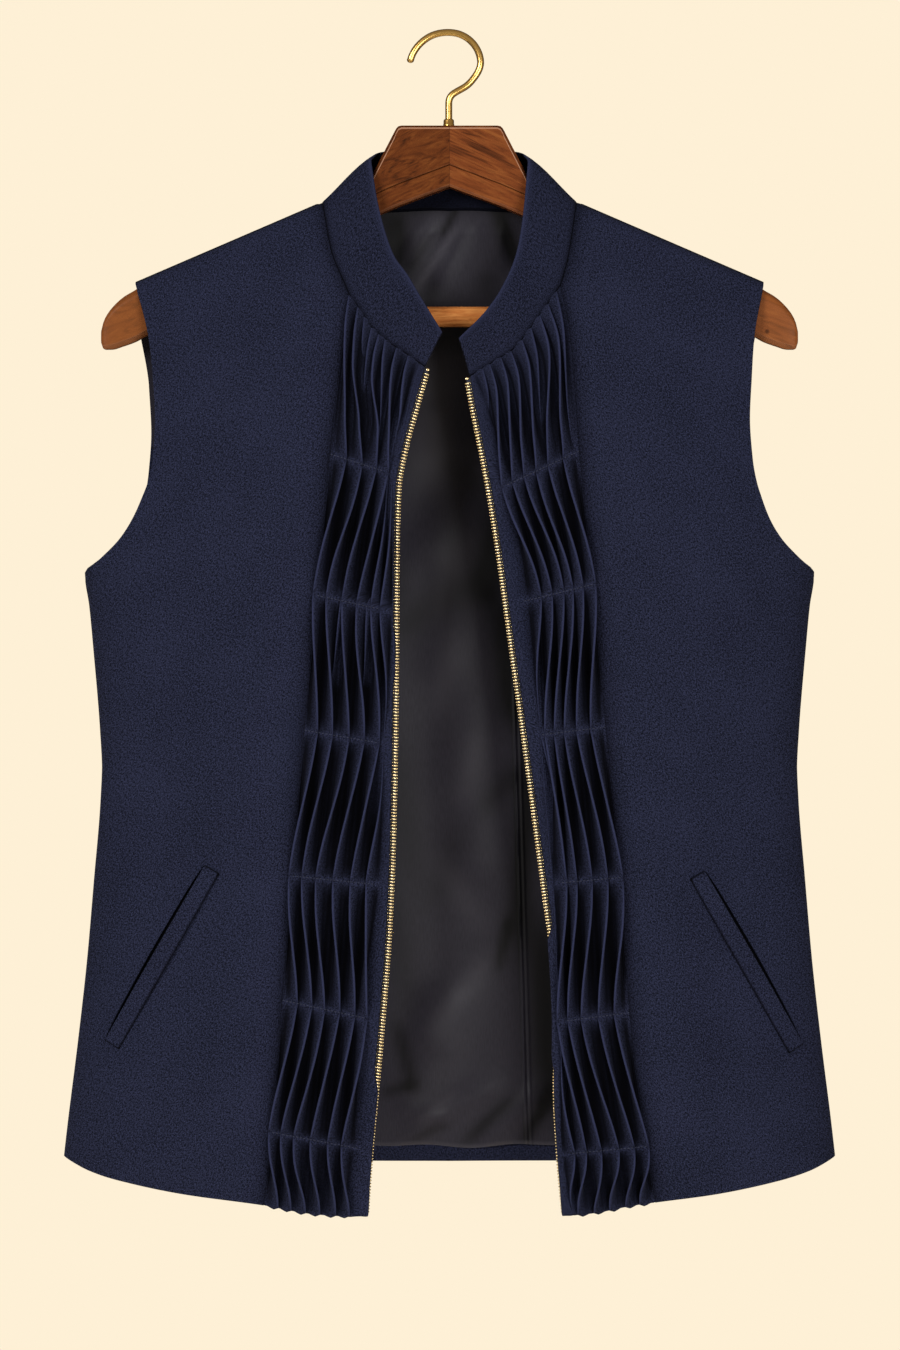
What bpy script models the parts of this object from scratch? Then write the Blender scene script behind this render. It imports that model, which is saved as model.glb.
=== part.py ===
"""A sleeveless stand-collar jacket (nehru jacket), open in front, on a wooden hanger.

Metres, +Z up. The front faces -Y and +X is to the viewer's right. The origin is where the
hook bears on what holds it. Sizes and tables are in millimetres. In them "drop" is the
distance below the origin and "out" the distance from the centre plane, to either side.
"""

from bisect import bisect_right
from math import cos, hypot, pi, radians, sin, sqrt

import bmesh
import bpy
from mathutils import Vector

MM = 0.001

# Driving sizes
GAP = 0.3  # between pieces that touch or are sewn edge to edge
BODY_WALL = 1.7  # wool shell with its fusing
TUCK_WALL = 1.2
LINING_WALL = 1.0
COLLAR_WALL = 2.0
TAPE_WALL = 1.0
WELT_WALL = 1.4
NECK_OUT, NECK_DROP = 82.5, 107.3  # neck end of the shoulder
TIP_OUT, TIP_DROP = 203.2, 159.3  # outer end of the shoulder
UNDERARM_DROP, HEM_CORNER_DROP = 347.8, 724.6
RIDGE_RADIUS = 10  # of the cloth where it bends over the hanger
RIDGE_END = radians(70)  # the bend ends at this angle down from the ridge
SEAM_FORWARD = radians(30)  # the shoulder seam lies this far in front of the ridge
TUCK_DEPTH, TUCK_FOLD = 6.5, 1.2  # height of a tuck, and thickness of its two layers
FOLD_FOOT = 0.8  # half width of a tuck where it leaves the panel
NECK_TUCK_DEPTH = 4.5  # they are shallower where they run into the neck seam
FADED = 0.12  # share of its depth that a tuck keeps where it runs out
TUCK_LEAN = radians(75)  # from upright, where a row holds it down
CHAIN_WIDTH, CHAIN_THICKNESS = 3.6, 2.6
CHAIN_INSET = 2.4  # from the middle of the teeth to the cloth edge
TAPE_REACH = 11  # of the zip tape behind the front


def table(columns, *rows):
    """A table with named columns; the first column rises and the others are read at it."""
    names = columns.split()
    return {"key": names[0]} | {name: [row[i] for row in rows] for i, name in enumerate(names)}


# Half widths of the front, of the back, and of the side line that both curve towards.
OUTLINE = table(
    "drop front back side",
    (159.3, 203.2, 203.2, 262),
    (197, 193.5, 197, 256),
    (223, 190.5, 195.5, 251),
    (250, 188.8, 194.2, 247),
    (275, 190, 196, 243),
    (288, 192.5, 198, 241),
    (300, 197, 201.3, 239.5),
    (313, 203, 206, 238.3),
    (326, 211.5, 213.7, 237.3),
    (339.5, 225.5, 226.8, 236.6),
    (347.8, 236, 236, 236.2),
    (365, 233.4, 233.4, 233.4),
    (391, 230.8, 230.8, 230.8),
    (443, 226.3, 226.3, 226.3),
    (469, 225, 225, 225),
    (495, 226, 226, 226),
    (546, 230.2, 230.2, 230.2),
    (598, 234.7, 234.7, 234.7),
    (650, 240.5, 240.5, 240.5),
    (702, 247, 247, 247),
    (724.6, 249.6, 249.6, 249.6),
)
# How far the cloth stands out past the ridge's bend, by its fall below that bend.
DEPTH = table(
    "fall front back",
    (0, 0, 0),
    (33, 10.5, 9.5),
    (93, 26.5, 17.5),
    (173, 37.5, 22.5),
    (293, 34.5, 16.5),
    (413, 36.5, 20.5),
    (553, 42.5, 26.5),
    (680, 44, 28),
)
FRONT_HEM = table(
    "out drop",
    (50, 758),
    (70, 757.8),
    (90, 756.3),
    (118, 751.3),
    (134, 749.2),
    (172, 744.6),
    (212, 737.3),
    (232, 732),
    (249.6, 724.6),
)
BACK_HEM = table("out drop", (0, 731.8), (150, 731), (220, 728), (249.6, 724.6))
BACK_NECK = table(
    "out along",
    (0, 26),
    (30, 24.2),
    (50, 21),
    (62, 18),
    (70, 15),
    (76, 11),
    (80, 6),
    (82.5, -5.2),
)
# The middle of the zip's teeth; the two fronts hang a little differently.
ZIP_LINE = table(
    "drop left right",
    (217, 13.7, 10),
    (243, 21, 14.6),
    (268.5, 27.7, 19.7),
    (294, 32.2, 24.5),
    (332, 33.5, 30.6),
    (396, 33.9, 39.5),
    (460, 34.6, 48.4),
    (523, 36, 56.7),
    (574, 38.2, 63.5),
    (625, 41.8, 65.6),
    (676, 45.6, 66),
    (714.5, 48.9, 67.8),
    (758, 52.2, 72),
)
# The side panel's inner edge: first the neck, then the seam to the tuck panel.
NECK_EDGE = {
    "left": table("drop out", (107.3, 82.5), (142.6, 75.7), (161, 68.2), (171.5, 63.7)),
    "right": table("drop out", (107.3, 82.5), (146, 76.3), (164, 71.3)),
}
TUCK_SEAM = {
    "left": table(
        "drop out",
        (171.5, 63.7),
        (190, 67),
        (273, 76.2),
        (363, 84.5),
        (449, 92.8),
        (542, 100.4),
        (621, 106.7),
        (705, 113),
        (752, 118.3),
    ),
    "right": table(
        "drop out",
        (164, 71.3),
        (193.5, 76.9),
        (271, 82.9),
        (356, 91.5),
        (447, 99.8),
        (543, 109.3),
        (629, 114.8),
        (714, 125.7),
        (752, 131.4),
    ),
}
# Neck edge of the tuck panels: how far it dips below a straight line from seam to zip.
NECK_DIP = table(
    "across left right",
    (0, 0, 0),
    (0.14, 3, 3.8),
    (0.29, 7.2, 7.5),
    (0.5, 6.4, 10.8),
    (0.72, 3.4, 6.5),
    (1, 0, 0),
)
# A row for the neck edge, for each stitched row and for the hem: its drop at the tuck seam
# and at the zip, the side to which the tucks lean there (1 to the zip, -1 to the side
# seam), how many tucks have their full depth, and the tucks' distances from the tuck seam.
TUCK_ROWS = {
    "left": table(
        "seam zip lean full one two three four five six",
        (171.5, 217, -1, 6, 3.2, 8.3, 13.4, 18.6, 24, 30.6),
        (273, 286.5, 1, 4, 4.3, 14.6, 23.4, 31, 36, 39.4),
        (363, 373.5, -1, 6, 3.2, 11.6, 21.7, 31, 40, 46),
        (449, 458.5, 1, 5, 2.6, 12.1, 22.7, 32.4, 42, 50),
        (542, 548, -1, 6, 3.8, 12.1, 21, 31.9, 43, 53),
        (621, 634, 1, 6, 3.8, 13, 21.2, 30.8, 40.4, 48.2),
        (705, 716.5, -1, 6, 3.8, 11.5, 19.7, 30.3, 41.2, 50),
        (751.3, 757.5, 1, 6, 3.2, 11.4, 20.6, 29.7, 39.7, 48.5),
    ),
    "right": table(
        "seam zip lean full one two three four five six",
        (164, 223, -1, 6, 5.8, 11.5, 16.8, 22.6, 28.8, 36),
        (271, 297, 1, 6, 4.1, 13.7, 21.5, 28.3, 35.4, 42),
        (356, 369, -1, 6, 4.1, 12.1, 18.6, 24.5, 31.9, 38.9),
        (447, 453, 1, 5, 3.8, 12.7, 20.6, 27, 33, 41),
        (543, 547, -1, 5, 4.7, 14.3, 24.3, 34, 40.5, 44),
        (629, 635, 1, 5, 4, 14.1, 25, 33.5, 40.3, 43.8),
        (714, 719, -1, 6, 4.8, 14, 23.9, 35, 44.5, 52),
        (749.5, 758, 1, 5, 4, 13, 23.2, 33.1, 43.2, 51),
    ),
}
TUCKS = ("one", "two", "three", "four", "five", "six")
# The collar's top edge, read at the drop of the seam below it in front and at the
# seam's distance from the centre plane behind. Depth is towards the back.
COLLAR_FRONT = {
    "left": table(
        "seam out drop depth",
        (108.6, 50.9, 79.5, -4),
        (114, 50.9, 82, -9.5),
        (120, 50.4, 86.5, -12.5),
        (142.6, 46.5, 110, -18.5),
        (171.5, 36.5, 143.5, -28),
        (191.7, 26.5, 158.5, -34),
        (199.2, 20.5, 169, -36.5),
        (217, 4.9, 194.7, -41),
    ),
    "right": table(
        "seam out drop depth",
        (108.6, 50.9, 79.5, -4),
        (114, 50.9, 82.5, -9.5),
        (120, 50.6, 88, -12.5),
        (146, 47.5, 119, -19.5),
        (164, 43.5, 142, -26.5),
        (188.9, 33, 167, -34),
        (204.7, 23, 181.5, -38),
        (223, 6.2, 198.6, -41.5),
    ),
}
COLLAR_BACK = table(
    "seam out drop depth",
    (0, 0, 71.5, 14.5),
    (30, 20, 71.8, 14.3),
    (50, 33, 72.5, 13.5),
    (62, 40, 73.5, 12.3),
    (70, 44.5, 75, 10.5),
    (76, 47, 76.5, 8),
    (82.5, 49.3, 79.5, 2),
)
# Middle line of each pocket welt, from its top end to its bottom end.
WELTS = {
    "left": {"top": (151.7, 538), "bottom": (216.3, 651)},
    "right": {"top": (158.3, 541.7), "bottom": (222.2, 653.8)},
}
WELT_WIDTH, WELT_LIFT = 10.6, 2.6  # the mouth's edge stands this far off in the middle
# One half of the hanger: its top and bottom edges, half thickness and top rounding.
ARM = table(
    "out top bottom half round",
    (0.15, 58.6, 98.2, 7, 1.5),
    (33.4, 58.6, 110.8, 7, 1.5),
    (48.8, 88.2, 117.4, 7, 2.5),
    (53, 98, 119.5, 7, 5),
    (70, 109.5, 128.3, 7, 6.7),
    (82.6, 114.2, 134.9, 7, 6.7),
    (95, 115.4, 141.3, 7, 6.7),
    (142, 135.3, 165.9, 7, 6.7),
    (180, 151.7, 185.7, 7, 6.7),
    (197, 160, 194.5, 7, 6.7),
    (203.3, 164.5, 198, 7, 6.5),
    (211, 169.2, 200.8, 6.9, 6),
    (219, 177, 203, 6.6, 5),
    (223.6, 184.5, 203, 6, 4.5),
    (225.3, 191, 199, 4.6, 3),
)
BAR_DROP, BAR_RADIUS = 181.9, 6.6
HOOK_WIRE = 2.25  # radius
HOOK_CENTRE = (-1, -18.2)
HOOK = table(
    "angle radius",
    (-58, 18.4),
    (-33, 18.9),
    (6, 21.2),
    (60, 20.8),
    (90, 20.45),
    (130, 21.6),
    (174, 24.4),
)
STEM_X, STEM_TOP_DROP = -0.5, 44
FERRULE_TOP_DROP, FERRULE_RADIUS = 53, 3.3

MATERIALS = {
    "navy_wool": ((0.020, 0.023, 0.042), 0.9, 0),
    "lining_satin": ((0.024, 0.022, 0.026), 0.45, 0),
    "zip_tape": ((0.012, 0.013, 0.022), 0.85, 0),
    "brass": ((0.62, 0.45, 0.18), 0.3, 1),
    "walnut": ((0.19, 0.065, 0.022), 0.4, 0),
}
SIDES = {"left": -1, "right": 1}
FRONT, BACK = -1, 1


def curve(rows, name, at):
    """Reads a table between its rows, on a smooth curve that never overshoots them."""
    keys, values = rows[rows["key"]], rows[name]
    at = min(max(at, keys[0]), keys[-1])
    i = min(bisect_right(keys, at), len(keys) - 1) - 1

    def rise(j):
        return (values[j + 1] - values[j]) / (keys[j + 1] - keys[j])

    def slope(j):
        if j in (0, len(keys) - 1):
            return rise(min(j, len(keys) - 2))
        before, after = rise(j - 1), rise(j)
        return 2 * before * after / (before + after) if before * after > 0 else 0

    step = keys[i + 1] - keys[i]
    t = (at - keys[i]) / step
    back = 1 - t
    ends = values[i] * back * back * (1 + 2 * t) + values[i + 1] * t * t * (3 - 2 * t)
    return ends + step * t * back * (slope(i) * back - slope(i + 1) * t)


def mix(a, b, share):
    return a + (b - a) * share


# The drape: one surface that every piece of cloth is made from


def shoulder(out):
    """Drop of the shoulder's ridge; inside the neck it runs on as a shallow curve."""
    fall = (TIP_DROP - NECK_DROP) / (TIP_OUT - NECK_OUT)
    if out >= NECK_OUT:
        return NECK_DROP + (out - NECK_OUT) * fall
    return NECK_DROP - (NECK_OUT**2 - out**2) * fall / (2 * NECK_OUT)


BEND_LENGTH = RIDGE_RADIUS * RIDGE_END
BEND_FALL = RIDGE_RADIUS * (1 - cos(RIDGE_END))
BEND_DEPTH = RIDGE_RADIUS * sin(RIDGE_END)


def drop_of(out, along):
    """Drop of the cloth `along` from the ridge, measured down over the bend."""
    if along < BEND_LENGTH:
        return shoulder(out) + RIDGE_RADIUS * (1 - cos(along / RIDGE_RADIUS))
    return shoulder(out) + BEND_FALL + along - BEND_LENGTH


def along_of(out, drop):
    return BEND_LENGTH + drop - shoulder(out) - BEND_FALL


def cloth(x, along, face):
    """A point of the outer surface; face is FRONT or BACK."""
    out = abs(x)
    drop = drop_of(out, along)
    if along < BEND_LENGTH:
        return Vector((x, face * RIDGE_RADIUS * sin(along / RIDGE_RADIUS), -drop))
    fullness = sqrt(max(0, 1 - (out / curve(OUTLINE, "side", drop)) ** 3))
    open_side = min(max((UNDERARM_DROP - drop) / 60, 0), 1)
    bulge = curve(DEPTH, "front" if face == FRONT else "back", along - BEND_LENGTH)
    depth = BEND_DEPTH * mix(fullness, 1, open_side) + bulge * fullness
    return Vector((x, face * max(depth, GAP / 2), -drop))


def outward(x, along, face):
    """The cloth's outward direction."""
    out = abs(x)
    drop = drop_of(out, along)
    side = curve(OUTLINE, "side", drop)
    if drop > UNDERARM_DROP - 1 and out > side - 1:
        return Vector((1 if x > 0 else -1, 0, 0))
    step = 0.4
    x = min(max(x, step - side), side - step)
    across = cloth(x + step, along, face) - cloth(x - step, along, face)
    down = cloth(x, along + step, face) - cloth(x, along - step, face)
    return across.cross(down).normalized() * face


def on_cloth(x, along, face, lift=0):
    """A point `lift` outside the cloth's outer surface, or inside it where negative."""
    return cloth(x, along, face) + outward(x, along, face) * lift


# Solids


def finish(name, mesh, material, shade=False):
    """Makes the object from a closed bmesh in millimetres."""
    bmesh.ops.scale(mesh, vec=(MM, MM, MM), verts=mesh.verts)
    bmesh.ops.triangulate(mesh, faces=[f for f in mesh.faces if len(f.verts) > 4])
    bmesh.ops.recalc_face_normals(mesh, faces=mesh.faces)
    data = bpy.data.meshes.new(name)
    mesh.to_mesh(data)
    mesh.free()
    if shade:
        data.shade_smooth()
        data.set_sharp_from_angle(angle=radians(40))
    data.materials.append(material)
    thing = bpy.data.objects.new(name, data)
    bpy.context.scene.collection.objects.link(thing)
    return thing


def wall(name, outer, inner, material):
    """A solid between two grids of points, each a list of rows."""
    mesh = bmesh.new()
    skins = [[[mesh.verts.new(p) for p in row] for row in grid] for grid in (outer, inner)]
    rows, columns = len(outer), len(outer[0])
    for skin in skins:
        for i in range(rows - 1):
            for j in range(columns - 1):
                mesh.faces.new((skin[i][j], skin[i][j + 1], skin[i + 1][j + 1]))
                mesh.faces.new((skin[i][j], skin[i + 1][j + 1], skin[i + 1][j]))
    rim = [(0, j) for j in range(columns)]
    rim += [(i, columns - 1) for i in range(1, rows)]
    rim += [(rows - 1, j) for j in range(columns - 2, -1, -1)]
    rim += [(i, 0) for i in range(rows - 2, 0, -1)]
    for (a, b), (c, d) in zip(rim, rim[1:] + rim[:1]):
        mesh.faces.new((skins[0][a][b], skins[0][c][d], skins[1][c][d], skins[1][a][b]))
    return finish(name, mesh, material)


def loft(name, sections, material, shade=False, crossed=()):
    """A solid through closed sections that all have the same number of points.

    Each stretch from one section to the next is two triangles. The places along the
    section that are in `crossed` are split along the other diagonal.
    """
    mesh = bmesh.new()
    rings = [[mesh.verts.new(p) for p in section] for section in sections]
    count = len(rings[0])
    for one, two in zip(rings, rings[1:]):
        for j in range(count):
            k = (j + 1) % count
            if j in crossed:
                mesh.faces.new((one[j], one[k], two[j]))
                mesh.faces.new((one[k], two[k], two[j]))
            else:
                mesh.faces.new((one[j], one[k], two[k]))
                mesh.faces.new((one[j], two[k], two[j]))
    mesh.faces.new(rings[0])
    mesh.faces.new(rings[-1])
    return finish(name, mesh, material, shade)


def paint(name):
    colour, roughness, metallic = MATERIALS[name]
    material = bpy.data.materials.new(name)
    material.use_nodes = True
    shader = material.node_tree.nodes["Principled BSDF"]
    shader.inputs["Base Color"].default_value = (*colour, 1)
    shader.inputs["Roughness"].default_value = roughness
    shader.inputs["Metallic"].default_value = metallic
    return material


# Front side panels: side seam, armhole, shoulder, neck and tuck seam

# Extra rows, by the drop of the outer edge: the armhole's curve and the neck
ARMHOLE_ROWS = (356, 347.8, 342, 334, 324, 310, 292, 268, 195, 180)
FRONT_BEND_ROWS = (BEND_LENGTH, 9, 7, RIDGE_RADIUS * SEAM_FORWARD + GAP / 2)
STATIONS_PER_ROW = 3  # sections of the tuck panel from one stitched row to the next
FRONT_ACROSS = (0, 0.16, 0.32, 0.47, 0.61, 0.73, 0.83, 0.91, 0.965, 1)
HEM_BLEND = 0.12  # share of the height in which the rows bend to follow the hem


def inner_out(side, drop):
    """Half width of the inner edge: the neck above the corner, the tuck seam below it."""
    edges = NECK_EDGE if drop < TUCK_ROWS[side]["seam"][0] else TUCK_SEAM
    return curve(edges[side], "out", drop)


def panel_heights(side):
    """Rows of a side panel as shares of its height, from 0 at the hem to 1 at the bend."""
    outer_top, inner_top = drop_of(TIP_OUT, BEND_LENGTH), drop_of(NECK_OUT, BEND_LENGTH)
    seam, hem = TUCK_ROWS[side]["seam"], TUCK_ROWS[side]["seam"][-1]
    drops = seam + [(a + b) / 2 for a, b in zip(seam[1:], seam[2:])]
    drops += [mix(seam[0], seam[1], k / STATIONS_PER_ROW) for k in range(1, STATIONS_PER_ROW)]
    heights = [(hem - drop) / (hem - inner_top) for drop in drops]
    heights += [(HEM_CORNER_DROP - d) / (HEM_CORNER_DROP - outer_top) for d in ARMHOLE_ROWS]
    return sorted(heights)


def inner_drop_of(side, w):
    """Drop of the side panel's inner edge in the row at height w."""
    return mix(TUCK_ROWS[side]["seam"][-1], drop_of(NECK_OUT, BEND_LENGTH), w)


def front_side(side):
    across, sign = FRONT_ACROSS, SIDES[side]
    places = []
    for w in panel_heights(side):
        inner_drop = inner_drop_of(side, w)
        outer_drop = mix(HEM_CORNER_DROP, drop_of(TIP_OUT, BEND_LENGTH), w)
        inner = inner_out(side, inner_drop) + GAP / 2
        outer = curve(OUTLINE, "front", outer_drop)
        ends = along_of(inner, inner_drop), along_of(outer, outer_drop)
        row = [(sign * mix(inner, outer, u), mix(*ends, u)) for u in across]
        if w == 0:
            hem = [along_of(abs(x), curve(FRONT_HEM, "drop", abs(x))) for x, _ in row]
            sag = [low - along for low, (_, along) in zip(hem, row)]
        weight = max(0, 1 - w / HEM_BLEND) ** 2
        places.append([(x, along + low * weight) for (x, along), low in zip(row, sag)])
    for along in FRONT_BEND_ROWS:
        inner = inner_out(side, drop_of(NECK_OUT, along)) + GAP / 2
        outer = curve(OUTLINE, "front", drop_of(TIP_OUT, along))
        places.append([(sign * mix(inner, outer, u), along) for u in across])
    outer_skin = [[on_cloth(x, a, FRONT) for x, a in row] for row in places]
    inner_skin = [[on_cloth(x, a, FRONT, -BODY_WALL) for x, a in row] for row in places]
    return wall(f"front_side_{side}", outer_skin, inner_skin, WOOL)


# Back, in one piece, and its lining

BACK_ROWS = (724.6, 680, 630, 580, 530, 480, 430, 385, 358, 347.8)
BACK_ROWS += (342, 334, 324, 310, 290, 262, 230, 200, 180)
BACK_ACROSS = (0, 0.2, 0.345, 0.385, 0.406, 0.55, 0.74, 0.88, 0.965, 1)
BACK_BEND_ROWS = (BEND_LENGTH, 8, 4, 0, -RIDGE_RADIUS * SEAM_FORWARD + GAP / 2)
LINING_GAP = 0.5
LINING_HEM = 10  # its hem lies this far above the back's
LINING_BELOW_RIDGE = 24  # and its top edge this far down from the ridge
LINING_BELOW_NECK = 1.5


def back_top(out):
    """Where the back's top edge lies along the cloth: the neck seam, then the shoulder's."""
    return curve(BACK_NECK, "along", out) + GAP / 2 if out < NECK_OUT else BACK_BEND_ROWS[-1]


def back_places():
    """Rows of (x, along) over the back, from the hem to the neck and shoulder seams."""
    low = along_of(OUTLINE["back"][-1], HEM_CORNER_DROP)
    edges = [(curve(OUTLINE, "back", drop), drop) for drop in BACK_ROWS]
    edges = [(out, along_of(out, drop)) for out, drop in edges]
    for along in BACK_BEND_ROWS:
        edges.append((curve(OUTLINE, "back", drop_of(TIP_OUT, along)), along))
    places = []
    for reach, edge_along in edges:
        share = (low - edge_along) / (low - BACK_BEND_ROWS[-1])
        row = []
        for u in [-u for u in reversed(BACK_ACROSS[1:])] + list(BACK_ACROSS):
            out = abs(u) * reach
            bottom = along_of(out, curve(BACK_HEM, "drop", out))
            row.append((u * reach, mix(bottom, back_top(abs(u) * TIP_OUT), share)))
        places.append(row)
    return places


def back_and_lining():
    places = back_places()
    outer = [[on_cloth(x, a, BACK) for x, a in row] for row in places]
    inner = [[on_cloth(x, a, BACK, -BODY_WALL) for x, a in row] for row in places]
    wall("back", outer, inner, WOOL)

    body_rows, columns = len(BACK_ROWS), len(places[0])
    skins = [[[None] * columns for _ in places] for _ in range(2)]
    for j in range(columns):
        alongs = [row[j][1] for row in places]
        top = max(alongs[-1] + LINING_BELOW_NECK, LINING_BELOW_RIDGE)
        last = body_rows - 1
        wanted = [alongs[0] - LINING_HEM] + alongs[1:body_rows]
        for i in range(len(BACK_BEND_ROWS)):
            wanted.append(mix(alongs[last], top, (i + 1) / len(BACK_BEND_ROWS)))
        for i, along in enumerate(wanted):
            k = max(n for n in range(len(alongs) - 1) if n == 0 or alongs[n] >= along)
            part = (alongs[k] - along) / (alongs[k] - alongs[k + 1])
            point = inner[k][j].lerp(inner[k + 1][j], part)
            out = (outer[k][j].lerp(outer[k + 1][j], part) - point).normalized()
            skins[0][i][j] = point - out * LINING_GAP
            skins[1][i][j] = point - out * (LINING_GAP + LINING_WALL)
    wall("back_lining", *([row[1:-1] for row in skin] for skin in skins), SATIN)


# Front tuck panels, each with six tucks, and the zip tapes behind their edges

LAST_ROW = len(TUCK_ROWS["left"]["seam"]) - 1
CAP_STRIP = 14  # width of the flat strip inside the zip edge


class Station:
    """One section across a tuck panel; place 3.5 lies halfway from row 3 to row 4."""

    def __init__(self, side, place):
        rows = TUCK_ROWS[side]
        self.sign, self.side = SIDES[side], side
        row = min(int(place), LAST_ROW - 1)
        part = place - row

        def between(name):
            return mix(rows[name][row], rows[name][row + 1], part)

        self.drops = between("seam"), between("zip")
        seam = curve(TUCK_SEAM[side], "out", self.drops[0]) - GAP / 2
        zip_edge = curve(ZIP_LINE, side, self.drops[1]) + CHAIN_INSET
        self.outs = seam, zip_edge
        self.neck_share = max(0, 1 - place) ** 2
        self.hem_share = max(0, place - LAST_ROW + 1) ** 2
        self.lean = TUCK_LEAN * rows["lean"][row] * cos(pi * part)
        self.folds = [between(name) / (seam - zip_edge) for name in TUCKS]
        self.depths = []
        for i in range(len(TUCKS)):
            ends = []
            for r in (row, row + 1):
                full = NECK_TUCK_DEPTH if r == 0 else TUCK_DEPTH
                ends.append(full if i < rows["full"][r] else full * FADED)
            self.depths.append(mix(*ends, part))

    def place(self, q):
        """x and along at share q from the tuck seam to the zip edge."""
        out, drop = mix(*self.outs, q), mix(*self.drops, q)
        drop += (curve(NECK_DIP, self.side, q) + GAP / 2) * self.neck_share
        drop = mix(drop, curve(FRONT_HEM, "drop", out), self.hem_share)
        return self.sign * out, along_of(out, drop)

    def point(self, q, lift=0):
        return on_cloth(*self.place(q), FRONT, lift)

    def frame(self, q):
        """Outward direction, and the direction towards the zip."""
        near, far = max(0, q - 0.02), min(1, q + 0.02)
        return outward(*self.place(q), FRONT), (self.point(far) - self.point(near)).normalized()


def tuck_panel(side):
    sections = []
    for k in range(LAST_ROW * STATIONS_PER_ROW + 1):
        station = Station(side, k / STATIONS_PER_ROW)
        width = station.outs[0] - station.outs[1]
        foot = FOLD_FOOT / width
        section = [station.point(0)]
        for q, depth in zip(station.folds, station.depths):
            out, across = station.frame(q)
            half = TUCK_FOLD / 2 * min(1, 0.3 + depth / TUCK_DEPTH)
            height = max(depth * cos(station.lean), half * abs(sin(station.lean)) + GAP)
            tip = station.point(q, height) + across * depth * sin(station.lean)
            thick = (across * cos(station.lean) - out * sin(station.lean)) * half
            section += [station.point(q - foot), tip - thick, tip + thick, station.point(q + foot)]
        section.append(station.point(1))
        for q in (1, 1 - CAP_STRIP / width, 0.5, 0.25, 0):
            section.append(station.point(q, -TUCK_WALL))
        sections.append(section)
    # Both walls of a tuck twist together only if their diagonals run the same way.
    far_walls = [4 * i + 3 for i in range(len(TUCKS))]
    return loft(f"front_tucks_{side}", sections, WOOL, crossed=far_walls)


def zip_edge(side, place):
    """Edge of the cloth, its outward direction, and the direction into the opening."""
    station = Station(side, place)
    step = 0.1
    low, high = min(place + step, LAST_ROW), max(place - step, 0)
    along_edge = (Station(side, low).point(1) - Station(side, high).point(1)).normalized()
    out = station.frame(1)[0]
    opening = along_edge.cross(out).normalized()
    if opening.x * SIDES[side] > 0:
        opening = -opening
    return station, out, opening


TAPE_FIRST, TAPE_LAST = 0.06, LAST_ROW - 0.06
CHAIN_NEAR = CHAIN_INSET - CHAIN_WIDTH / 2
CHAIN_FAR = CHAIN_INSET + CHAIN_WIDTH / 2


def zip_tape(side):
    """The tape, sewn behind the front, with the solid core that its teeth are clamped on."""
    tape_top = -TUCK_WALL - GAP
    tape_low = tape_top - TAPE_WALL
    middle = (tape_top + tape_low) / 2
    chain_top, chain_low = middle + CHAIN_THICKNESS / 2, middle - CHAIN_THICKNESS / 2
    places = [k / STATIONS_PER_ROW for k in range(1, LAST_ROW * STATIONS_PER_ROW)]
    sections = []
    for place in [TAPE_FIRST] + places + [TAPE_LAST]:
        station, out, opening = zip_edge(side, place)
        strip = CAP_STRIP / (station.outs[0] - station.outs[1])
        edge = station.point(1)
        behind = edge.lerp(station.point(1 - strip), TAPE_REACH / CAP_STRIP)
        near, far = edge + opening * CHAIN_NEAR, edge + opening * CHAIN_FAR
        sections.append(
            [
                behind + out * tape_top,
                near + out * tape_top,
                near + out * chain_top,
                far + out * chain_top,
                far + out * chain_low,
                near + out * chain_low,
                near + out * tape_low,
                behind + out * tape_low,
            ]
        )
    return loft(f"zip_tape_{side}", sections, TAPE)


STOP_LENGTH = 3


def zip_stop(side):
    """The bead that ends the teeth, just under the collar."""
    _, out, opening = zip_edge(side, TAPE_FIRST)
    edge = Station(side, TAPE_FIRST).point(1)
    up = out.cross(opening)
    if up.z < 0:
        up = -up
    middle = -TUCK_WALL - GAP - TAPE_WALL / 2
    centre = edge + opening * CHAIN_INSET + out * middle + up * (GAP + STOP_LENGTH / 2)
    sections = []
    for share, size in ((-0.5, 0.75), (-0.25, 1), (0.25, 1), (0.5, 0.75)):
        ring = []
        for i in range(8):
            angle = radians(45 * i + 22.5)
            wide = opening * cos(angle) * CHAIN_WIDTH / 2 * size
            deep = out * sin(angle) * CHAIN_THICKNESS / 2 * size
            ring.append(centre + up * STOP_LENGTH * share + wide + deep)
        sections.append(ring)
    return loft(f"zip_stop_{side}", sections, BRASS)


# Collar

COLLAR_TUCK_PLACES = (1, 0.86, 0.7, 0.54, 0.38, 0.24, 0.12)
COLLAR_BULGE = 1.0


def collar_seam(side):
    """Points of the neck seam from the front end to the middle of the back."""
    sign = SIDES[side]
    station = Station(side, 0)
    points = []
    for q in COLLAR_TUCK_PLACES:
        x, along = station.place(q)
        along -= GAP
        points.append((x, along, FRONT, COLLAR_FRONT[side], drop_of(abs(x), along)))
    corner = TUCK_ROWS[side]["seam"][0]
    for drop in (inner_drop_of(side, w) for w in panel_heights(side)):
        if drop > corner + 0.1:
            continue
        out = curve(NECK_EDGE[side], "out", drop)
        points.append((sign * out, along_of(out, drop), FRONT, COLLAR_FRONT[side], drop))
    for along in FRONT_BEND_ROWS[1:3]:
        drop = drop_of(NECK_OUT, along)
        out = curve(NECK_EDGE[side], "out", drop)
        points.append((sign * out, along, FRONT, COLLAR_FRONT[side], drop))
    for u in reversed([u for u in BACK_ACROSS if u * TIP_OUT < NECK_OUT + 0.1]):
        out = u * TIP_OUT
        points.append((sign * out, curve(BACK_NECK, "along", out), BACK, COLLAR_BACK, out))
    return points


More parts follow.
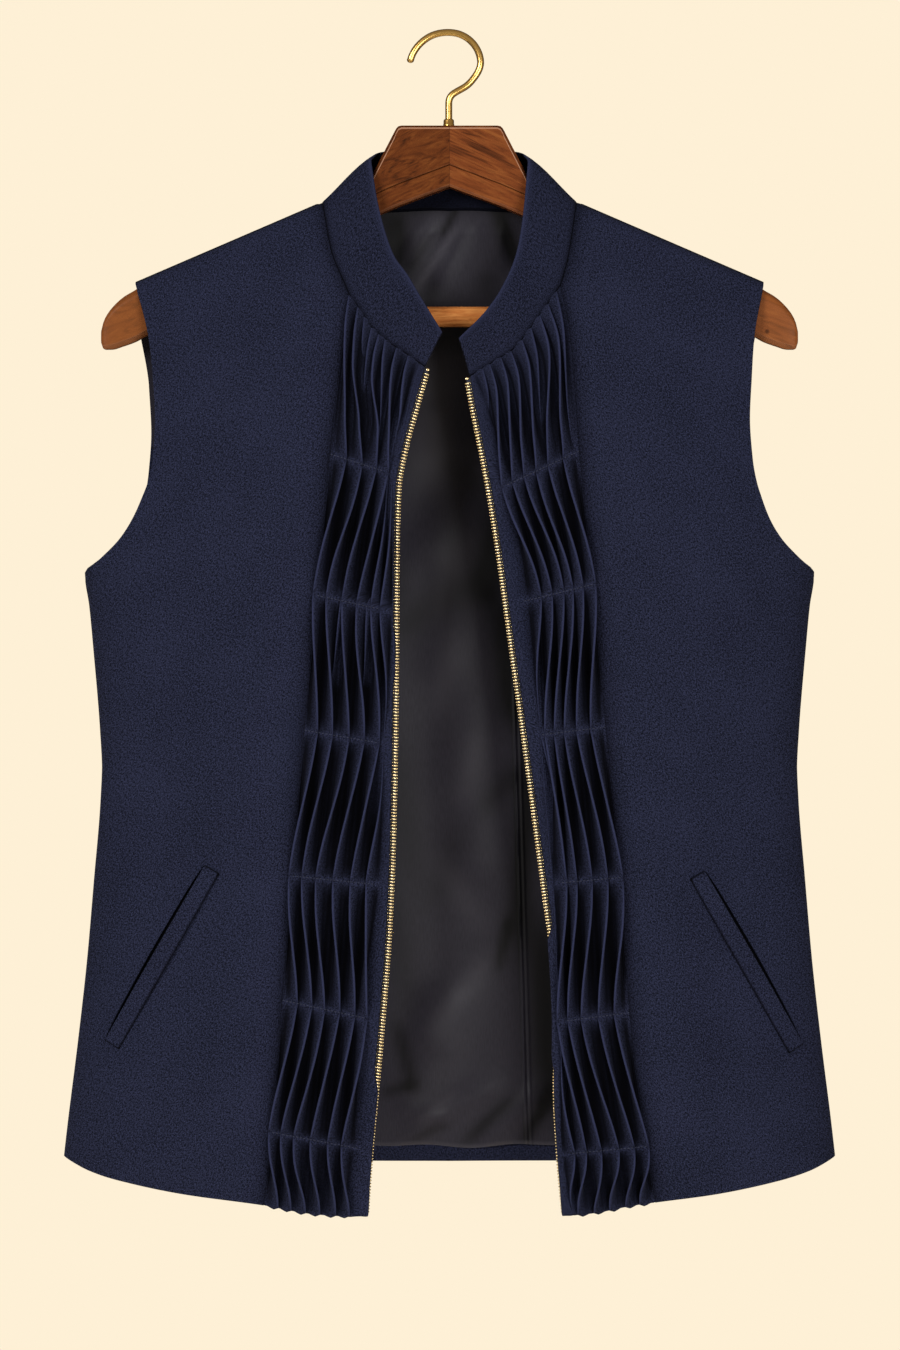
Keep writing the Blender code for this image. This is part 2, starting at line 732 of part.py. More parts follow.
def collar():
    left, right = collar_seam("left"), collar_seam("right")
    path = left + right[-2::-1]
    seams, tops, outs = [], [], []
    for i, (x, along, face, rows, key) in enumerate(path):
        sign = -1 if i < len(left) - 1 else 1
        top_x, top_drop = sign * curve(rows, "out", key), curve(rows, "drop", key)
        tops.append(Vector((top_x, curve(rows, "depth", key), -top_drop)))
        seam = on_cloth(x, along, face)
        seams.append(seam + (tops[-1] - seam).normalized() * GAP)
        outs.append(outward(x, along, face))
    outer_skin, inner_skin = [], []
    for i, (seam, top, out) in enumerate(zip(seams, tops, outs)):
        before, after = max(i - 1, 0), min(i + 1, len(path) - 1)
        round_it = (seams[after] + tops[after]) - (seams[before] + tops[before])
        face_out = round_it.cross(top - seam).normalized()
        if face_out.dot(out) < 0:
            face_out = -face_out
        middle = seam.lerp(top, 0.5) + face_out * COLLAR_BULGE
        outer_skin.append([seam, middle, top])
        inner = [seam - out * COLLAR_WALL]
        inner += [point - face_out * COLLAR_WALL for point in (middle, top)]
        inner_skin.append(inner)
    return wall("collar", outer_skin, inner_skin, WOOL)


# Pocket welts

WELT_ROWS, WELT_COLUMNS = 9, 3


def welt(side):
    """A slanted strip on the front; its upper edge is the pocket's mouth and stands open."""
    top, bottom = WELTS[side]["top"], WELTS[side]["bottom"]
    length = hypot(bottom[0] - top[0], bottom[1] - top[1])
    run = (bottom[0] - top[0]) / length, (bottom[1] - top[1]) / length
    skins = [], []
    for i in range(WELT_ROWS):
        share = i / (WELT_ROWS - 1)
        rows = [], []
        for j in range(WELT_COLUMNS):
            aside = j / (WELT_COLUMNS - 1)
            offset = (aside - 0.5) * WELT_WIDTH
            out = mix(top[0], bottom[0], share) + run[1] * offset
            drop = mix(top[1], bottom[1], share) - run[0] * offset
            lift = GAP + WELT_LIFT * sin(pi * share) * aside**2
            x, along = SIDES[side] * out, along_of(out, drop)
            rows[0].append(on_cloth(x, along, FRONT, lift + WELT_WALL))
            rows[1].append(on_cloth(x, along, FRONT, lift))
        for skin, row in zip(skins, rows):
            skin.append(row)
    return wall(f"pocket_welt_{side}", *skins, WOOL)


# Hanger: two arms mitred in the middle, a dowel glued between them, a wire hook in a ferrule

BOTTOM_EASE = 1.5  # rounding of the arms' bottom edges


def arm(side):
    sections = []
    for i, out in enumerate(ARM["out"]):
        half, ease = ARM["half"][i], ARM["round"][i]
        top, bottom = -ARM["top"][i], -ARM["bottom"][i]
        edge = [(half - BOTTOM_EASE, bottom), (half, bottom + BOTTOM_EASE)]
        for step in range(5):
            angle = pi / 2 * step / 4
            edge.append((half - ease * (1 - cos(angle)), top - ease * (1 - sin(angle))))
        ring = edge + [(-y, z) for y, z in reversed(edge)]
        sections.append([Vector((SIDES[side] * out, y, z)) for y, z in ring])
    return loft(f"hanger_arm_{side}", sections, WALNUT, shade=True)


def bar_end(drop):
    """Where the arm's underside crosses this drop, less the glue gap."""
    bottoms, outs = ARM["bottom"], ARM["out"]
    i = max(k for k in range(len(outs) - 5) if bottoms[k] < drop)
    slope = (outs[i + 1] - outs[i]) / (bottoms[i + 1] - bottoms[i])
    return outs[i] + (drop - bottoms[i]) * slope - GAP * hypot(1, slope)


def bar():
    """A dowel whose ends are cut on the slant to meet the undersides of the arms."""
    sections = []
    for sign in (-1, 1):
        ring = []
        for i in range(16):
            angle = 2 * pi * i / 16
            drop = BAR_DROP - BAR_RADIUS * sin(angle)
            ring.append(Vector((sign * bar_end(drop), BAR_RADIUS * cos(angle), -drop)))
        sections.append(ring)
    return loft("hanger_bar", sections, WALNUT, shade=True)


def hook_path():
    points = []
    for angle in range(174, -59, -8):
        radius = curve(HOOK, "radius", angle)
        x = HOOK_CENTRE[0] + radius * cos(radians(angle))
        points.append(Vector((x, 0, HOOK_CENTRE[1] + radius * sin(radians(angle)))))
    start, heading = points[-1], (points[-1] - points[-2]).normalized()
    end = Vector((STEM_X, 0, -STEM_TOP_DROP))
    reach = (end - start).length * 0.45
    pull_start, pull_end = start + heading * reach, end + Vector((0, 0, reach))
    for step in range(1, 8):
        t = step / 7
        u = 1 - t
        points.append(
            start * u**3 + pull_start * 3 * u * u * t + pull_end * 3 * u * t * t + end * t**3
        )
    points.append(Vector((STEM_X, 0, -ARM["top"][0] + GAP)))
    return points


def hook():
    data = bpy.data.curves.new("hook", "CURVE")
    data.dimensions = "3D"
    data.bevel_depth = HOOK_WIRE * MM
    data.bevel_resolution = 2
    data.use_fill_caps = True
    points = hook_path()
    spline = data.splines.new("POLY")
    spline.points.add(len(points) - 1)
    for place, point in zip(spline.points, points):
        place.co = (*point * MM, 1)
    data.materials.append(BRASS)
    thing = bpy.data.objects.new("hook", data)
    bpy.context.scene.collection.objects.link(thing)
    return thing


def ferrule():
    """The ring at the foot of the hook, standing on the wood."""
    low, high = -ARM["top"][0] + GAP, -FERRULE_TOP_DROP
    bore, chamfer = HOOK_WIRE + GAP, 0.6
    profile = [(bore, low), (FERRULE_RADIUS, low), (FERRULE_RADIUS, high - chamfer)]
    profile += [(FERRULE_RADIUS - chamfer, high), (bore, high)]
    mesh = bmesh.new()
    rings = []
    for i in range(20):
        turn = 2 * pi * i / 20
        ring = [(STEM_X + r * cos(turn), r * sin(turn), z) for r, z in profile]
        rings.append([mesh.verts.new(p) for p in ring])
    for one, two in zip(rings, rings[1:] + rings[:1]):
        for j in range(len(profile)):
            k = (j + 1) % len(profile)
            mesh.faces.new((one[j], one[k], two[k], two[j]))
    return finish("ferrule", mesh, BRASS, shade=True)


for thing in list(bpy.data.objects):
    bpy.data.objects.remove(thing, do_unlink=True)

WOOL, SATIN, TAPE = paint("navy_wool"), paint("lining_satin"), paint("zip_tape")
BRASS, WALNUT = paint("brass"), paint("walnut")

back_and_lining()
for side in SIDES:
    front_side(side)
    tuck_panel(side)
    zip_tape(side)
    zip_stop(side)
    welt(side)
collar()
for side in SIDES:
    arm(side)
bar()
ferrule()
hook()
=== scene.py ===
"""The looks of a sleeveless nehru jacket on a wooden hanger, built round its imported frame.

Tables are in millimetres, as a tailor would give them. "drop" is the distance below the
point that the hook hangs from, "out" the distance from the centre plane, to either side,
and "along" the distance down the cloth from the ridge of the shoulder. The front faces -Y.
"""

from math import cos, hypot, pi, radians, sin

import bmesh
import bpy
import numpy as np
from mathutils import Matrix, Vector


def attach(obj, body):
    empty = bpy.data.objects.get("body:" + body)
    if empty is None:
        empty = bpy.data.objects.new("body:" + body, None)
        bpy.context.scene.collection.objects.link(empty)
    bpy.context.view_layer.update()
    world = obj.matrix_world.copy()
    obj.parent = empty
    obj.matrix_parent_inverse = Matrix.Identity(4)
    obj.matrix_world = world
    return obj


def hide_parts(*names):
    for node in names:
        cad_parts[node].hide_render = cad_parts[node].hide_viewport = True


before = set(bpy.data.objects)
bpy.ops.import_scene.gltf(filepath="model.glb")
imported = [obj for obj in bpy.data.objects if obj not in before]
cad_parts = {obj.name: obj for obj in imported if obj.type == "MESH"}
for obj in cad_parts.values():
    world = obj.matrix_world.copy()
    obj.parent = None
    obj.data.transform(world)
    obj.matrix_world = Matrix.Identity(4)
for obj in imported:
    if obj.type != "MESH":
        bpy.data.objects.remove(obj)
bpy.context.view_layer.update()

# Studio
# The camera stands straight in front, three metres off. The surround is warm paper, but
# dimmer as a light than it looks, so that soft panels of light shape the cloth and brass.

MM = 0.001
CAMERA_OFF, CAMERA_HEIGHT, VIEW_HEIGHT, SENSOR = 3.0, -0.4138, 0.8741, 36
JACKET_MIDDLE = Vector((0, 0, -0.4))
FLOOR_RADIUS, FLOOR_HEIGHT = 1.2, -1.25
# What the camera sees behind the jacket, the floor, and the room's own light, in front of
# the jacket and behind it. The darker room behind gives the brass its dark edges.
PAPER, FLOOR, ROOM, ROOM_BEHIND = "#fef0d6", "#efe6d6", "#a8a196", "#4a3c30"


def shade(code):
    """The linear colour of an sRGB hex value."""
    parts = [int(code[i : i + 2], 16) / 255 for i in (1, 3, 5)]
    return (*(c / 12.92 if c <= 0.04045 else ((c + 0.055) / 1.055) ** 2.4 for c in parts), 1)


def fill(tree, made, inputs):
    """Gives a node's sockets their values, or links the outputs of other nodes to them."""
    for key, value in inputs.items():
        if isinstance(value, bpy.types.NodeSocket):
            tree.links.new(value, made.inputs[key])
        else:
            made.inputs[key].default_value = value


def node(tree, kind, inputs=None, **settings):
    """Adds a node with its settings, and fills its sockets."""
    made = tree.nodes.new(kind)
    for name, value in settings.items():
        setattr(made, name, value)
    fill(tree, made, inputs or {})
    return made


def link_in(name, data):
    """Puts a mesh, lamp or camera in the scene under this name."""
    thing = bpy.data.objects.new(name, data)
    bpy.context.scene.collection.objects.link(thing)
    return thing


def as_mesh(name, form):
    """Turns a bmesh into a plain mesh and frees it."""
    mesh = bpy.data.meshes.new(name)
    form.to_mesh(mesh)
    form.free()
    return mesh


def new_finish(name):
    """A new material, with its node tree and its shader."""
    material = bpy.data.materials.new(name)
    material.use_nodes = True
    return material, material.node_tree, material.node_tree.nodes["Principled BSDF"]


def softbox(name, place, size, power):
    """A square panel of light that faces the jacket's middle and doesn't show itself."""
    data = bpy.data.lights.new(name, "AREA")
    data.shape, data.size, data.energy = "SQUARE", size, power
    lamp = link_in(name, data)
    lamp.location = place
    lamp.rotation_euler = (JACKET_MIDDLE - Vector(place)).to_track_quat("-Z", "Y").to_euler()
    lamp.visible_camera = False
    return lamp


camera = link_in("camera", bpy.data.cameras.new("camera"))
camera.location = (0.0003, -CAMERA_OFF, CAMERA_HEIGHT)
camera.rotation_euler = (pi / 2, 0, 0)
camera.data.sensor_width = SENSOR
camera.data.lens = SENSOR * CAMERA_OFF / VIEW_HEIGHT
bpy.context.scene.camera = camera
bpy.context.scene.view_settings.view_transform = "Standard"

world = bpy.data.worlds.new("studio")
world.use_nodes = True
ray = node(world.node_tree, "ShaderNodeTexCoord")
heading = node(world.node_tree, "ShaderNodeSeparateXYZ", {0: ray.outputs[0]})
turned = {"Value": heading.outputs[1], "From Min": -0.3, "From Max": 0.7}
behind = node(world.node_tree, "ShaderNodeMapRange", turned)
walls = {0: behind.outputs[0], 6: shade(ROOM), 7: shade(ROOM_BEHIND)}
room = node(world.node_tree, "ShaderNodeMix", walls, data_type="RGBA")
seen = node(world.node_tree, "ShaderNodeLightPath")
ground = {0: seen.outputs["Is Camera Ray"], 6: room.outputs[2], 7: shade(PAPER)}
surround = node(world.node_tree, "ShaderNodeMix", ground, data_type="RGBA")
background = world.node_tree.nodes["Background"]
fill(world.node_tree, background, {"Color": surround.outputs[2]})
bpy.context.scene.world = world
softbox("key", (-1.7, -2.3, 0.7), 1.1, 68)
softbox("fill", (1.35, -2.7, -0.45), 1.2, 54)
softbox("back", (-1.3, 2.3, 0.7), 2.0, 100).visible_glossy = False

disc = bmesh.new()
bmesh.ops.create_circle(disc, cap_ends=True, radius=FLOOR_RADIUS, segments=96)
floor = link_in("floor", as_mesh("floor", disc))
floor.location.z = FLOOR_HEIGHT
# Uncoated paper: pale, with no shine at all.
matte_paper, tree, shader = new_finish("matte_paper_floor")
fill(tree, shader, {"Base Color": shade(FLOOR), "Roughness": 0.9})
floor.data.materials.append(matte_paper)


# Back panel
# One piece of navy worsted wool, fused, from side seam to side seam. It wraps over the
# hanger to a shoulder seam that lies a little forward, and falls in shallow soft folds.

GAP = 0.3
BODY_WALL = 1.7
NECK_OUT, NECK_DROP = 82.5, 107.3
TIP_OUT, TIP_DROP = 203.2, 159.3
UNDERARM_DROP, HEM_CORNER_DROP = 347.8, 724.6
RIDGE_RADIUS, RIDGE_END, SEAM_FORWARD = 10, radians(70), radians(30)
# Above the underarm the front and the back come apart over this distance.
ARMHOLE_EASE = 60
BEND_LENGTH = RIDGE_RADIUS * RIDGE_END
BEND_FALL, BEND_DEPTH = RIDGE_RADIUS * (1 - cos(RIDGE_END)), RIDGE_RADIUS * sin(RIDGE_END)
FRONT, BACK = -1, 1
SIDES = {"left": -1, "right": 1}


def table(columns, *rows):
    """A table with named columns; the first column rises and the others are read at it."""
    names = columns.split()
    held = {name: np.array([row[i] for row in rows], float) for i, name in enumerate(names)}
    return {"key": names[0]} | held


# Half widths of the front, of the back, and of the side line that both curve towards.
OUTLINE = table(
    "drop front back side",
    (159.3, 203.2, 203.2, 262),
    (197, 193.5, 197, 256),
    (223, 190.5, 195.5, 251),
    (250, 188.8, 194.2, 247),
    (275, 190, 196, 243),
    (288, 192.5, 198, 241),
    (300, 197, 201.3, 239.5),
    (313, 203, 206, 238.3),
    (326, 211.5, 213.7, 237.3),
    (339.5, 225.5, 226.8, 236.6),
    (347.8, 236, 236, 236.2),
    (365, 233.4, 233.4, 233.4),
    (391, 230.8, 230.8, 230.8),
    (443, 226.3, 226.3, 226.3),
    (469, 225, 225, 225),
    (495, 226, 226, 226),
    (546, 230.2, 230.2, 230.2),
    (598, 234.7, 234.7, 234.7),
    (650, 240.5, 240.5, 240.5),
    (702, 247, 247, 247),
    (724.6, 249.6, 249.6, 249.6),
)
# How far the cloth stands out past the ridge's bend, by its fall below that bend.
DEPTH = table(
    "fall front back",
    (0, 0, 0),
    (33, 10.5, 9.5),
    (93, 26.5, 17.5),
    (173, 37.5, 22.5),
    (293, 34.5, 16.5),
    (413, 36.5, 20.5),
    (553, 42.5, 26.5),
    (680, 44, 28),
)
BACK_HEM = table("out drop", (0, 731.8), (150, 731), (220, 728), (249.6, 724.6))
BACK_NECK = table(
    "out along",
    (0, 26),
    (30, 24.2),
    (50, 21),
    (62, 18),
    (70, 15),
    (76, 11),
    (80, 6),
    (82.5, -5.2),
)
# The cloth lies smooth over the hanger down to the first distance along, and has its whole
# folds from the second; they fade out towards the side seams.
BACK_CALM, FOLDS_END = (60, 120), 235
# Soft folds: both ends as x and along, half width and height.
BACK_FOLDS = (
    (-120, 90, -96, 560, 20, 2.4),
    (-52, 150, -40, 640, 24, -1.8),
    (18, 120, 30, 600, 26, 1.6),
    (84, 100, 70, 520, 22, 2.2),
    (140, 130, 152, 600, 22, -1.8),
    (-176, 210, -150, 640, 18, -1.6),
    (-150, 300, -215, 330, 16, 1.2),
    (150, 310, 214, 335, 16, 1.3),
)


def read(rows, name, at):
    """Reads a table between its rows, on a smooth curve that never overshoots them."""
    keys, values = rows[rows["key"]], rows[name]
    rises = np.diff(values) / np.diff(keys)
    product, total = rises[:-1] * rises[1:], rises[:-1] + rises[1:]
    middle = np.where(product > 0, 2 * product / np.where(product > 0, total, 1), 0)
    slopes = np.concatenate([rises[:1], middle, rises[-1:]])
    at = np.clip(at, keys[0], keys[-1])
    i = np.clip(np.searchsorted(keys, at, side="right") - 1, 0, len(keys) - 2)
    step = keys[i + 1] - keys[i]
    t = (at - keys[i]) / step
    back = 1 - t
    ends = values[i] * back * back * (1 + 2 * t) + values[i + 1] * t * t * (3 - 2 * t)
    return ends + step * t * back * (slopes[i] * back - slopes[i + 1] * t)


def mix(a, b, share):
    """What lies between a and b, at a share of the way."""
    return a + (b - a) * share


def ramp(value, start, end):
    """Grows from 0 to 1 as the value goes from start to end."""
    return np.clip((value - start) / (end - start), 0, 1)


def steps(start, end, size):
    """Evenly spaced values from start to end, about `size` apart."""
    return np.linspace(start, end, max(2, round(abs(end - start) / size) + 1))


def shoulder(out):
    """Drop of the shoulder's ridge; inside the neck it runs on as a shallow curve."""
    fall = (TIP_DROP - NECK_DROP) / (TIP_OUT - NECK_OUT)
    inside = NECK_DROP - (NECK_OUT**2 - out**2) * fall / (2 * NECK_OUT)
    return np.where(out >= NECK_OUT, NECK_DROP + (out - NECK_OUT) * fall, inside)


def drop_of(out, along):
    """Drop of a point of the drape, from how far down the cloth it lies."""
    bend = RIDGE_RADIUS * (1 - np.cos(np.minimum(along, BEND_LENGTH) / RIDGE_RADIUS))
    return shoulder(out) + bend + np.maximum(along - BEND_LENGTH, 0)


def along_of(out, drop):
    """How far down the cloth a point lies, below the ridge's bend."""
    return BEND_LENGTH + drop - shoulder(out) - BEND_FALL


def cloth(x, along, face):
    """Points of the drape's outer surface; face is FRONT or BACK."""
    out = np.abs(x)
    drop = drop_of(out, along)
    fullness = np.sqrt(np.clip(1 - (out / read(OUTLINE, "side", drop)) ** 3, 0, 1))
    open_side = np.clip((UNDERARM_DROP - drop) / ARMHOLE_EASE, 0, 1)
    bulge = read(DEPTH, "front" if face == FRONT else "back", along - BEND_LENGTH)
    hang = BEND_DEPTH * mix(fullness, 1, open_side) + bulge * fullness
    bend = RIDGE_RADIUS * np.sin(np.minimum(along, BEND_LENGTH) / RIDGE_RADIUS)
    depth = np.where(along < BEND_LENGTH, bend, np.maximum(hang, GAP / 2))
    return np.stack([x, face * depth, -drop], axis=-1)


def unit(vectors):
    """The same directions, one long."""
    return vectors / np.linalg.norm(vectors, axis=-1, keepdims=True)


def outward(x, along, face):
    """The drape's outward directions."""
    drop = drop_of(np.abs(x), along)
    side = read(OUTLINE, "side", drop)
    step = 0.4
    near = np.clip(x, step - side, side - step)
    across = cloth(near + step, along, face) - cloth(near - step, along, face)
    down = cloth(near, along + step, face) - cloth(near, along - step, face)
    normal = unit(np.cross(across, down)) * face
    at_side = (drop > UNDERARM_DROP - 1) & (np.abs(x) > side - 1)
    normal[at_side] = np.stack([np.sign(x), 0 * x, 0 * x], axis=-1)[at_side]
    return normal


def on_cloth(x, along, face, lift=0.0):
    """Points `lift` outside the drape's outer surface, or inside it where negative."""
    lift = np.broadcast_to(lift, np.shape(x))
    return cloth(x, along, face) + outward(x, along, face) * lift[..., None]


def folds(x, along, rows):
    """Height of the soft folds in a table of them at each point."""
    height = np.zeros(np.shape(x))
    for x1, along1, x2, along2, width, high in rows:
        run_x, run_along = x2 - x1, along2 - along1
        length = hypot(run_x, run_along)
        t = ((x - x1) * run_x + (along - along1) * run_along) / length**2
        aside = ((x - x1) * run_along - (along - along1) * run_x) / length
        ends = 1 / (1 + np.exp(-12 * t)) / (1 + np.exp(12 * (t - 1)))
        height += high * ends * np.exp(-((aside / width) ** 2))
    return height


def cloth_shell(name, outer, inner, lay, finishes, marks=None):
    """A wall of cloth between two grids of points, with a rounded rim.

    `lay` is each point's place on the flat cloth, which the weave follows. `marks` are
    further values that the finish reads: of the outer points, or a pair with the inner's.
    """
    rows, columns = outer.shape[:2]
    count = rows * columns
    at = np.arange(count).reshape(rows, columns)
    rim = np.concatenate([at[0, :-1], at[:-1, -1], at[-1, :0:-1], at[:0:-1, 0]])
    beside = np.concatenate([at[1, :-1], at[:-1, -2], at[-2, :0:-1], at[:0:-1, 1]])
    top, under = outer.reshape(-1, 3), inner.reshape(-1, 3)
    middle = (top[rim] + under[rim]) / 2
    away = unit(middle - (top[beside] + under[beside]) / 2)
    thick = np.linalg.norm(top[rim] - under[rim], axis=1)[:, None]
    points = np.concatenate([top, under, middle + away * thick * 0.25])
    quads = np.stack([at[:-1, :-1], at[:-1, 1:], at[1:, 1:], at[1:, :-1]], -1).reshape(-1, 4)
    after, ring = np.roll(rim, -1), 2 * count + np.arange(len(rim))
    ring_after = np.roll(ring, -1)
    upper_rim = np.stack([after, rim, ring, ring_after], 1)
    lower_rim = np.stack([ring_after, ring, rim + count, after + count], 1)
    faces = np.concatenate([quads, upper_rim, lower_rim, quads[:, ::-1] + count])
    corners = points[faces]
    area = np.cross(corners[:, 2] - corners[:, 0], corners[:, 3] - corners[:, 1])
    if (area * corners.mean(1)).sum() < 0:
        faces = faces[:, ::-1]
    mesh = bpy.data.meshes.new(name)
    mesh.from_pydata((points * MM).tolist(), [], faces.tolist())
    lays = np.concatenate([lay.reshape(-1, 2), lay.reshape(-1, 2), lay.reshape(-1, 2)[rim]])
    weave = mesh.uv_layers.new(name="weave")
    weave.data.foreach_set("uv", (lays[faces.ravel()] * MM).astype(np.float32).ravel())
    for mark, values in (marks or {}).items():
        over, below = values if isinstance(values, tuple) else (values, 0 * values)
        over, below = over.ravel(), below.ravel()
        held = mesh.attributes.new(mark, "FLOAT", "POINT")
        every = np.concatenate([over, below, over[rim]]).astype(np.float32)
        held.data.foreach_set("value", every)
    for finish in finishes:
        mesh.materials.append(finish)
    lined = np.zeros(len(faces), np.int32)
    if len(finishes) > 1:
        lined[-len(quads) :] = 1
    mesh.polygons.foreach_set("material_index", lined)
    mesh.shade_smooth()
    mesh.set_sharp_from_angle(angle=radians(60))
    return link_in(name, mesh)


# Threads, slubs, tufts of flock, clouds left by the iron and stray pale fibres, in mm. Real
# threads are 0.3 mm apart, too fine to show; they are drawn 0.5 mm wide.
THREAD, SLUB, FLOCK, CLOUD, FIBRE = 0.5, 1.6, 0.95, 45, 0.7
# The deepest navy is the colour of painted shade, and the edge colour that of painted highlights.
NAVY, NAVY_LIGHT, NAVY_PAINTED_SHADE, EDGE_PAINTED_HIGHLIGHT = "#0a0c16", "#23263a", "#010104", "#2b2f49"
PALE_FIBRE = "#3a4060"


def wool_finish():
    """Worsted wool, woven and pressed: matt and finely flecked.

    Pressed fold edges get a painted highlight, and the depths between folds are painted shade,
    near black.
    """
    wool, tree, shader = new_finish("navy_worsted_wool")
    lay = node(tree, "ShaderNodeUVMap", uv_map="weave")
    threads = []
    for across, down in ((THREAD, SLUB), (SLUB, THREAD)):
        scale = (1000 / across, 1000 / down, 1)
        placed = node(tree, "ShaderNodeMapping", {"Vector": lay.outputs[0], "Scale": scale})
        slub = {"Vector": placed.outputs[0], "Scale": 1, "Detail": 2, "Roughness": 0.6}
        threads.append(node(tree, "ShaderNodeTexNoise", slub, noise_dimensions="2D"))
    both = {0: threads[0].outputs[0], 1: threads[1].outputs[0]}
    weave = node(tree, "ShaderNodeMath", both, operation="ADD")
    level = weave
    for size, share in ((FLOCK, 1.0), (CLOUD, 0.18)):
        patch = {"Vector": lay.outputs[0], "Scale": 1000 / size, "Detail": 2}
        cloud = node(tree, "ShaderNodeTexNoise", patch, noise_dimensions="2D")
        added = {0: cloud.outputs[0], 1: share, 2: level.outputs[0]}
        level = node(tree, "ShaderNodeMath", added, operation="MULTIPLY_ADD")
    spread = {"Value": level.outputs[0], "From Min": 1.41, "From Max": 1.77}
    tone = node(tree, "ShaderNodeMapRange", spread)
    fleck = {"Vector": lay.outputs[0], "Scale": 1000 / FIBRE, "Detail": 1}
    fibres = node(tree, "ShaderNodeTexNoise", fleck, noise_dimensions="2D")
    rare = {"Value": fibres.outputs[0], "From Min": 0.62, "From Max": 0.8, "To Max": 0.6}
    fibre = node(tree, "ShaderNodeMapRange", rare)
    # Masks for the painted shade between folds and the painted highlight on fold edges.
    depth = node(tree, "ShaderNodeAttribute", attribute_name="fold_depth")
    edge = node(tree, "ShaderNodeAttribute", attribute_name="fold_edge")
    dyed = {0: tone.outputs[0], 6: shade(NAVY), 7: shade(NAVY_LIGHT)}
    colour = node(tree, "ShaderNodeMix", dyed, data_type="RGBA")
    over = (fibre.outputs[0], PALE_FIBRE), (depth.outputs["Fac"], NAVY_PAINTED_SHADE)
    for where, hue in (*over, (edge.outputs["Fac"], EDGE_PAINTED_HIGHLIGHT)):
        layer = {0: where, 6: colour.outputs[2], 7: shade(hue)}
        colour = node(tree, "ShaderNodeMix", layer, data_type="RGBA")
    raised = {"Height": weave.outputs[0], "Strength": 0.25, "Distance": 0.0002}
    bump = node(tree, "ShaderNodeBump", raised)
    look = {"Base Color": colour.outputs[2], "Normal": bump.outputs[0], "Roughness": 0.85}
    shine = {"Specular IOR Level": 0.04, "Sheen Weight": 0.01, "Sheen Roughness": 0.5}
    fill(tree, shader, look | shine)
    return wool


WOOL = wool_finish()


def side_places(count, crowding=1.8):
    """Shares from 0 at the centre to 1 at the side, closer together towards the side."""
    return 1 - (1 - np.linspace(0, 1, count)) ** crowding


def back_top(out):
    """Where the back's top edge lies along the cloth: the neck seam, then the shoulder's."""
    seam = GAP / 2 - RIDGE_RADIUS * SEAM_FORWARD
    return np.where(out < NECK_OUT, read(BACK_NECK, "along", out) + GAP / 2, seam)


def back_places(cell, crowding=1.8, more=()):
    """A grid of (x, along) over the back, from the hem to the neck and shoulder seams."""
    drops = steps(HEM_CORNER_DROP, float(drop_of(TIP_OUT, BEND_LENGTH)), cell)
    reach = read(OUTLINE, "back", drops)
    bends = steps(BEND_LENGTH, float(back_top(TIP_OUT)), 1.5)[1:]
    edge_along = np.concatenate([along_of(reach, drops), bends])
    reach = np.concatenate([reach, read(OUTLINE, "back", drop_of(TIP_OUT, bends))])
    share = (edge_along[0] - edge_along) / (edge_along[0] - edge_along[-1])
    half = side_places(round(TIP_OUT / cell), crowding)
    u = np.unique(np.concatenate([-half, half, more]))
    x = u[None, :] * reach[:, None]
    bottom = along_of(np.abs(x), read(BACK_HEM, "drop", np.abs(x)))
    return x, mix(bottom, back_top(np.abs(u) * TIP_OUT)[None, :], share[:, None])


x, along = back_places(3.5)
lift = folds(x, along, BACK_FOLDS) * ramp(along, *BACK_CALM)
lift *= np.clip(1 - (np.abs(x) / FOLDS_END) ** 6, 0, 1)
# Painted shade darkens the pressed shoulder seams, and stands for the shadow that the hanger and
# the collar cast on the neck's inside.
seam_shade = np.interp(along, (-5.2, -1, 5), (0.85, 0.8, 0)) * (np.abs(x) > NECK_OUT - 4)
neck_shade = 0.95 * np.clip(3 - (along - along[-1]) / 4, 0, 1) * (np.abs(x) < NECK_OUT)
back = cloth_shell(
    "back_panel",
    on_cloth(x, along, BACK, lift),
    on_cloth(x, along, BACK, lift - BODY_WALL),
    np.stack([x, along], -1),
    [WOOL],
    {"fold_depth": (seam_shade, neck_shade)},
)
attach(back, "root")
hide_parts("back")


# Back lining
# Charcoal satin, hung loose inside the back and sewn in at the neck and armholes. It ends
# 10 mm above the hem, has a pleat for ease on the right, and lies in lazy slanting folds.

LINING_GAP, LINING_WALL, LINING_HEM = 0.5, 0.4, 10
LINING_BELOW_RIDGE, LINING_BELOW_NECK = 24, 1.5
# Soft folds: both ends as x and along, half width and height, all standing inwards.
LINING_FOLDS = (
    (8.1, 29.2, -1, 46.4, 3.2, 1.2),
    (-7.5, 29.3, -27.1, 58.8, 5.9, 2),
    (13.3, 34.2, -6.2, 72.3, 5.2, 1.6),
    (27.7, 27.4, 32.9, 57.9, 5.9, 1.2),
    (-11.4, 153.6, -2.3, 184.5, 14.3, 2),
    (10.7, 215.5, -19.3, 254, 15.6, 2.2),
    (21.2, 273.3, -4.9, 330.5, 16.9, 2.4),
    (13.3, 339.2, 8.1, 404.7, 16.9, 2.2),
    (15.9, 410.7, 15.9, 462.9, 15.6, 2),
    (-2.3, 532, -16.6, 573.6, 13.0, 2.2),
    (15.9, 524.8, -21.9, 605.7, 16.9, 2.4),
    (30.3, 595.4, -25.8, 628.7, 8.5, 2.2),
    (60.3, 590.9, 25.1, 634, 7.2, 2),
    (-32.3, 609.4, -6.2, 618.6, 5.9, 1.4),
    (-130, 150, -110, 520, 24, 2.6),
    (130, 180, 118, 560, 24, 2.6),
)
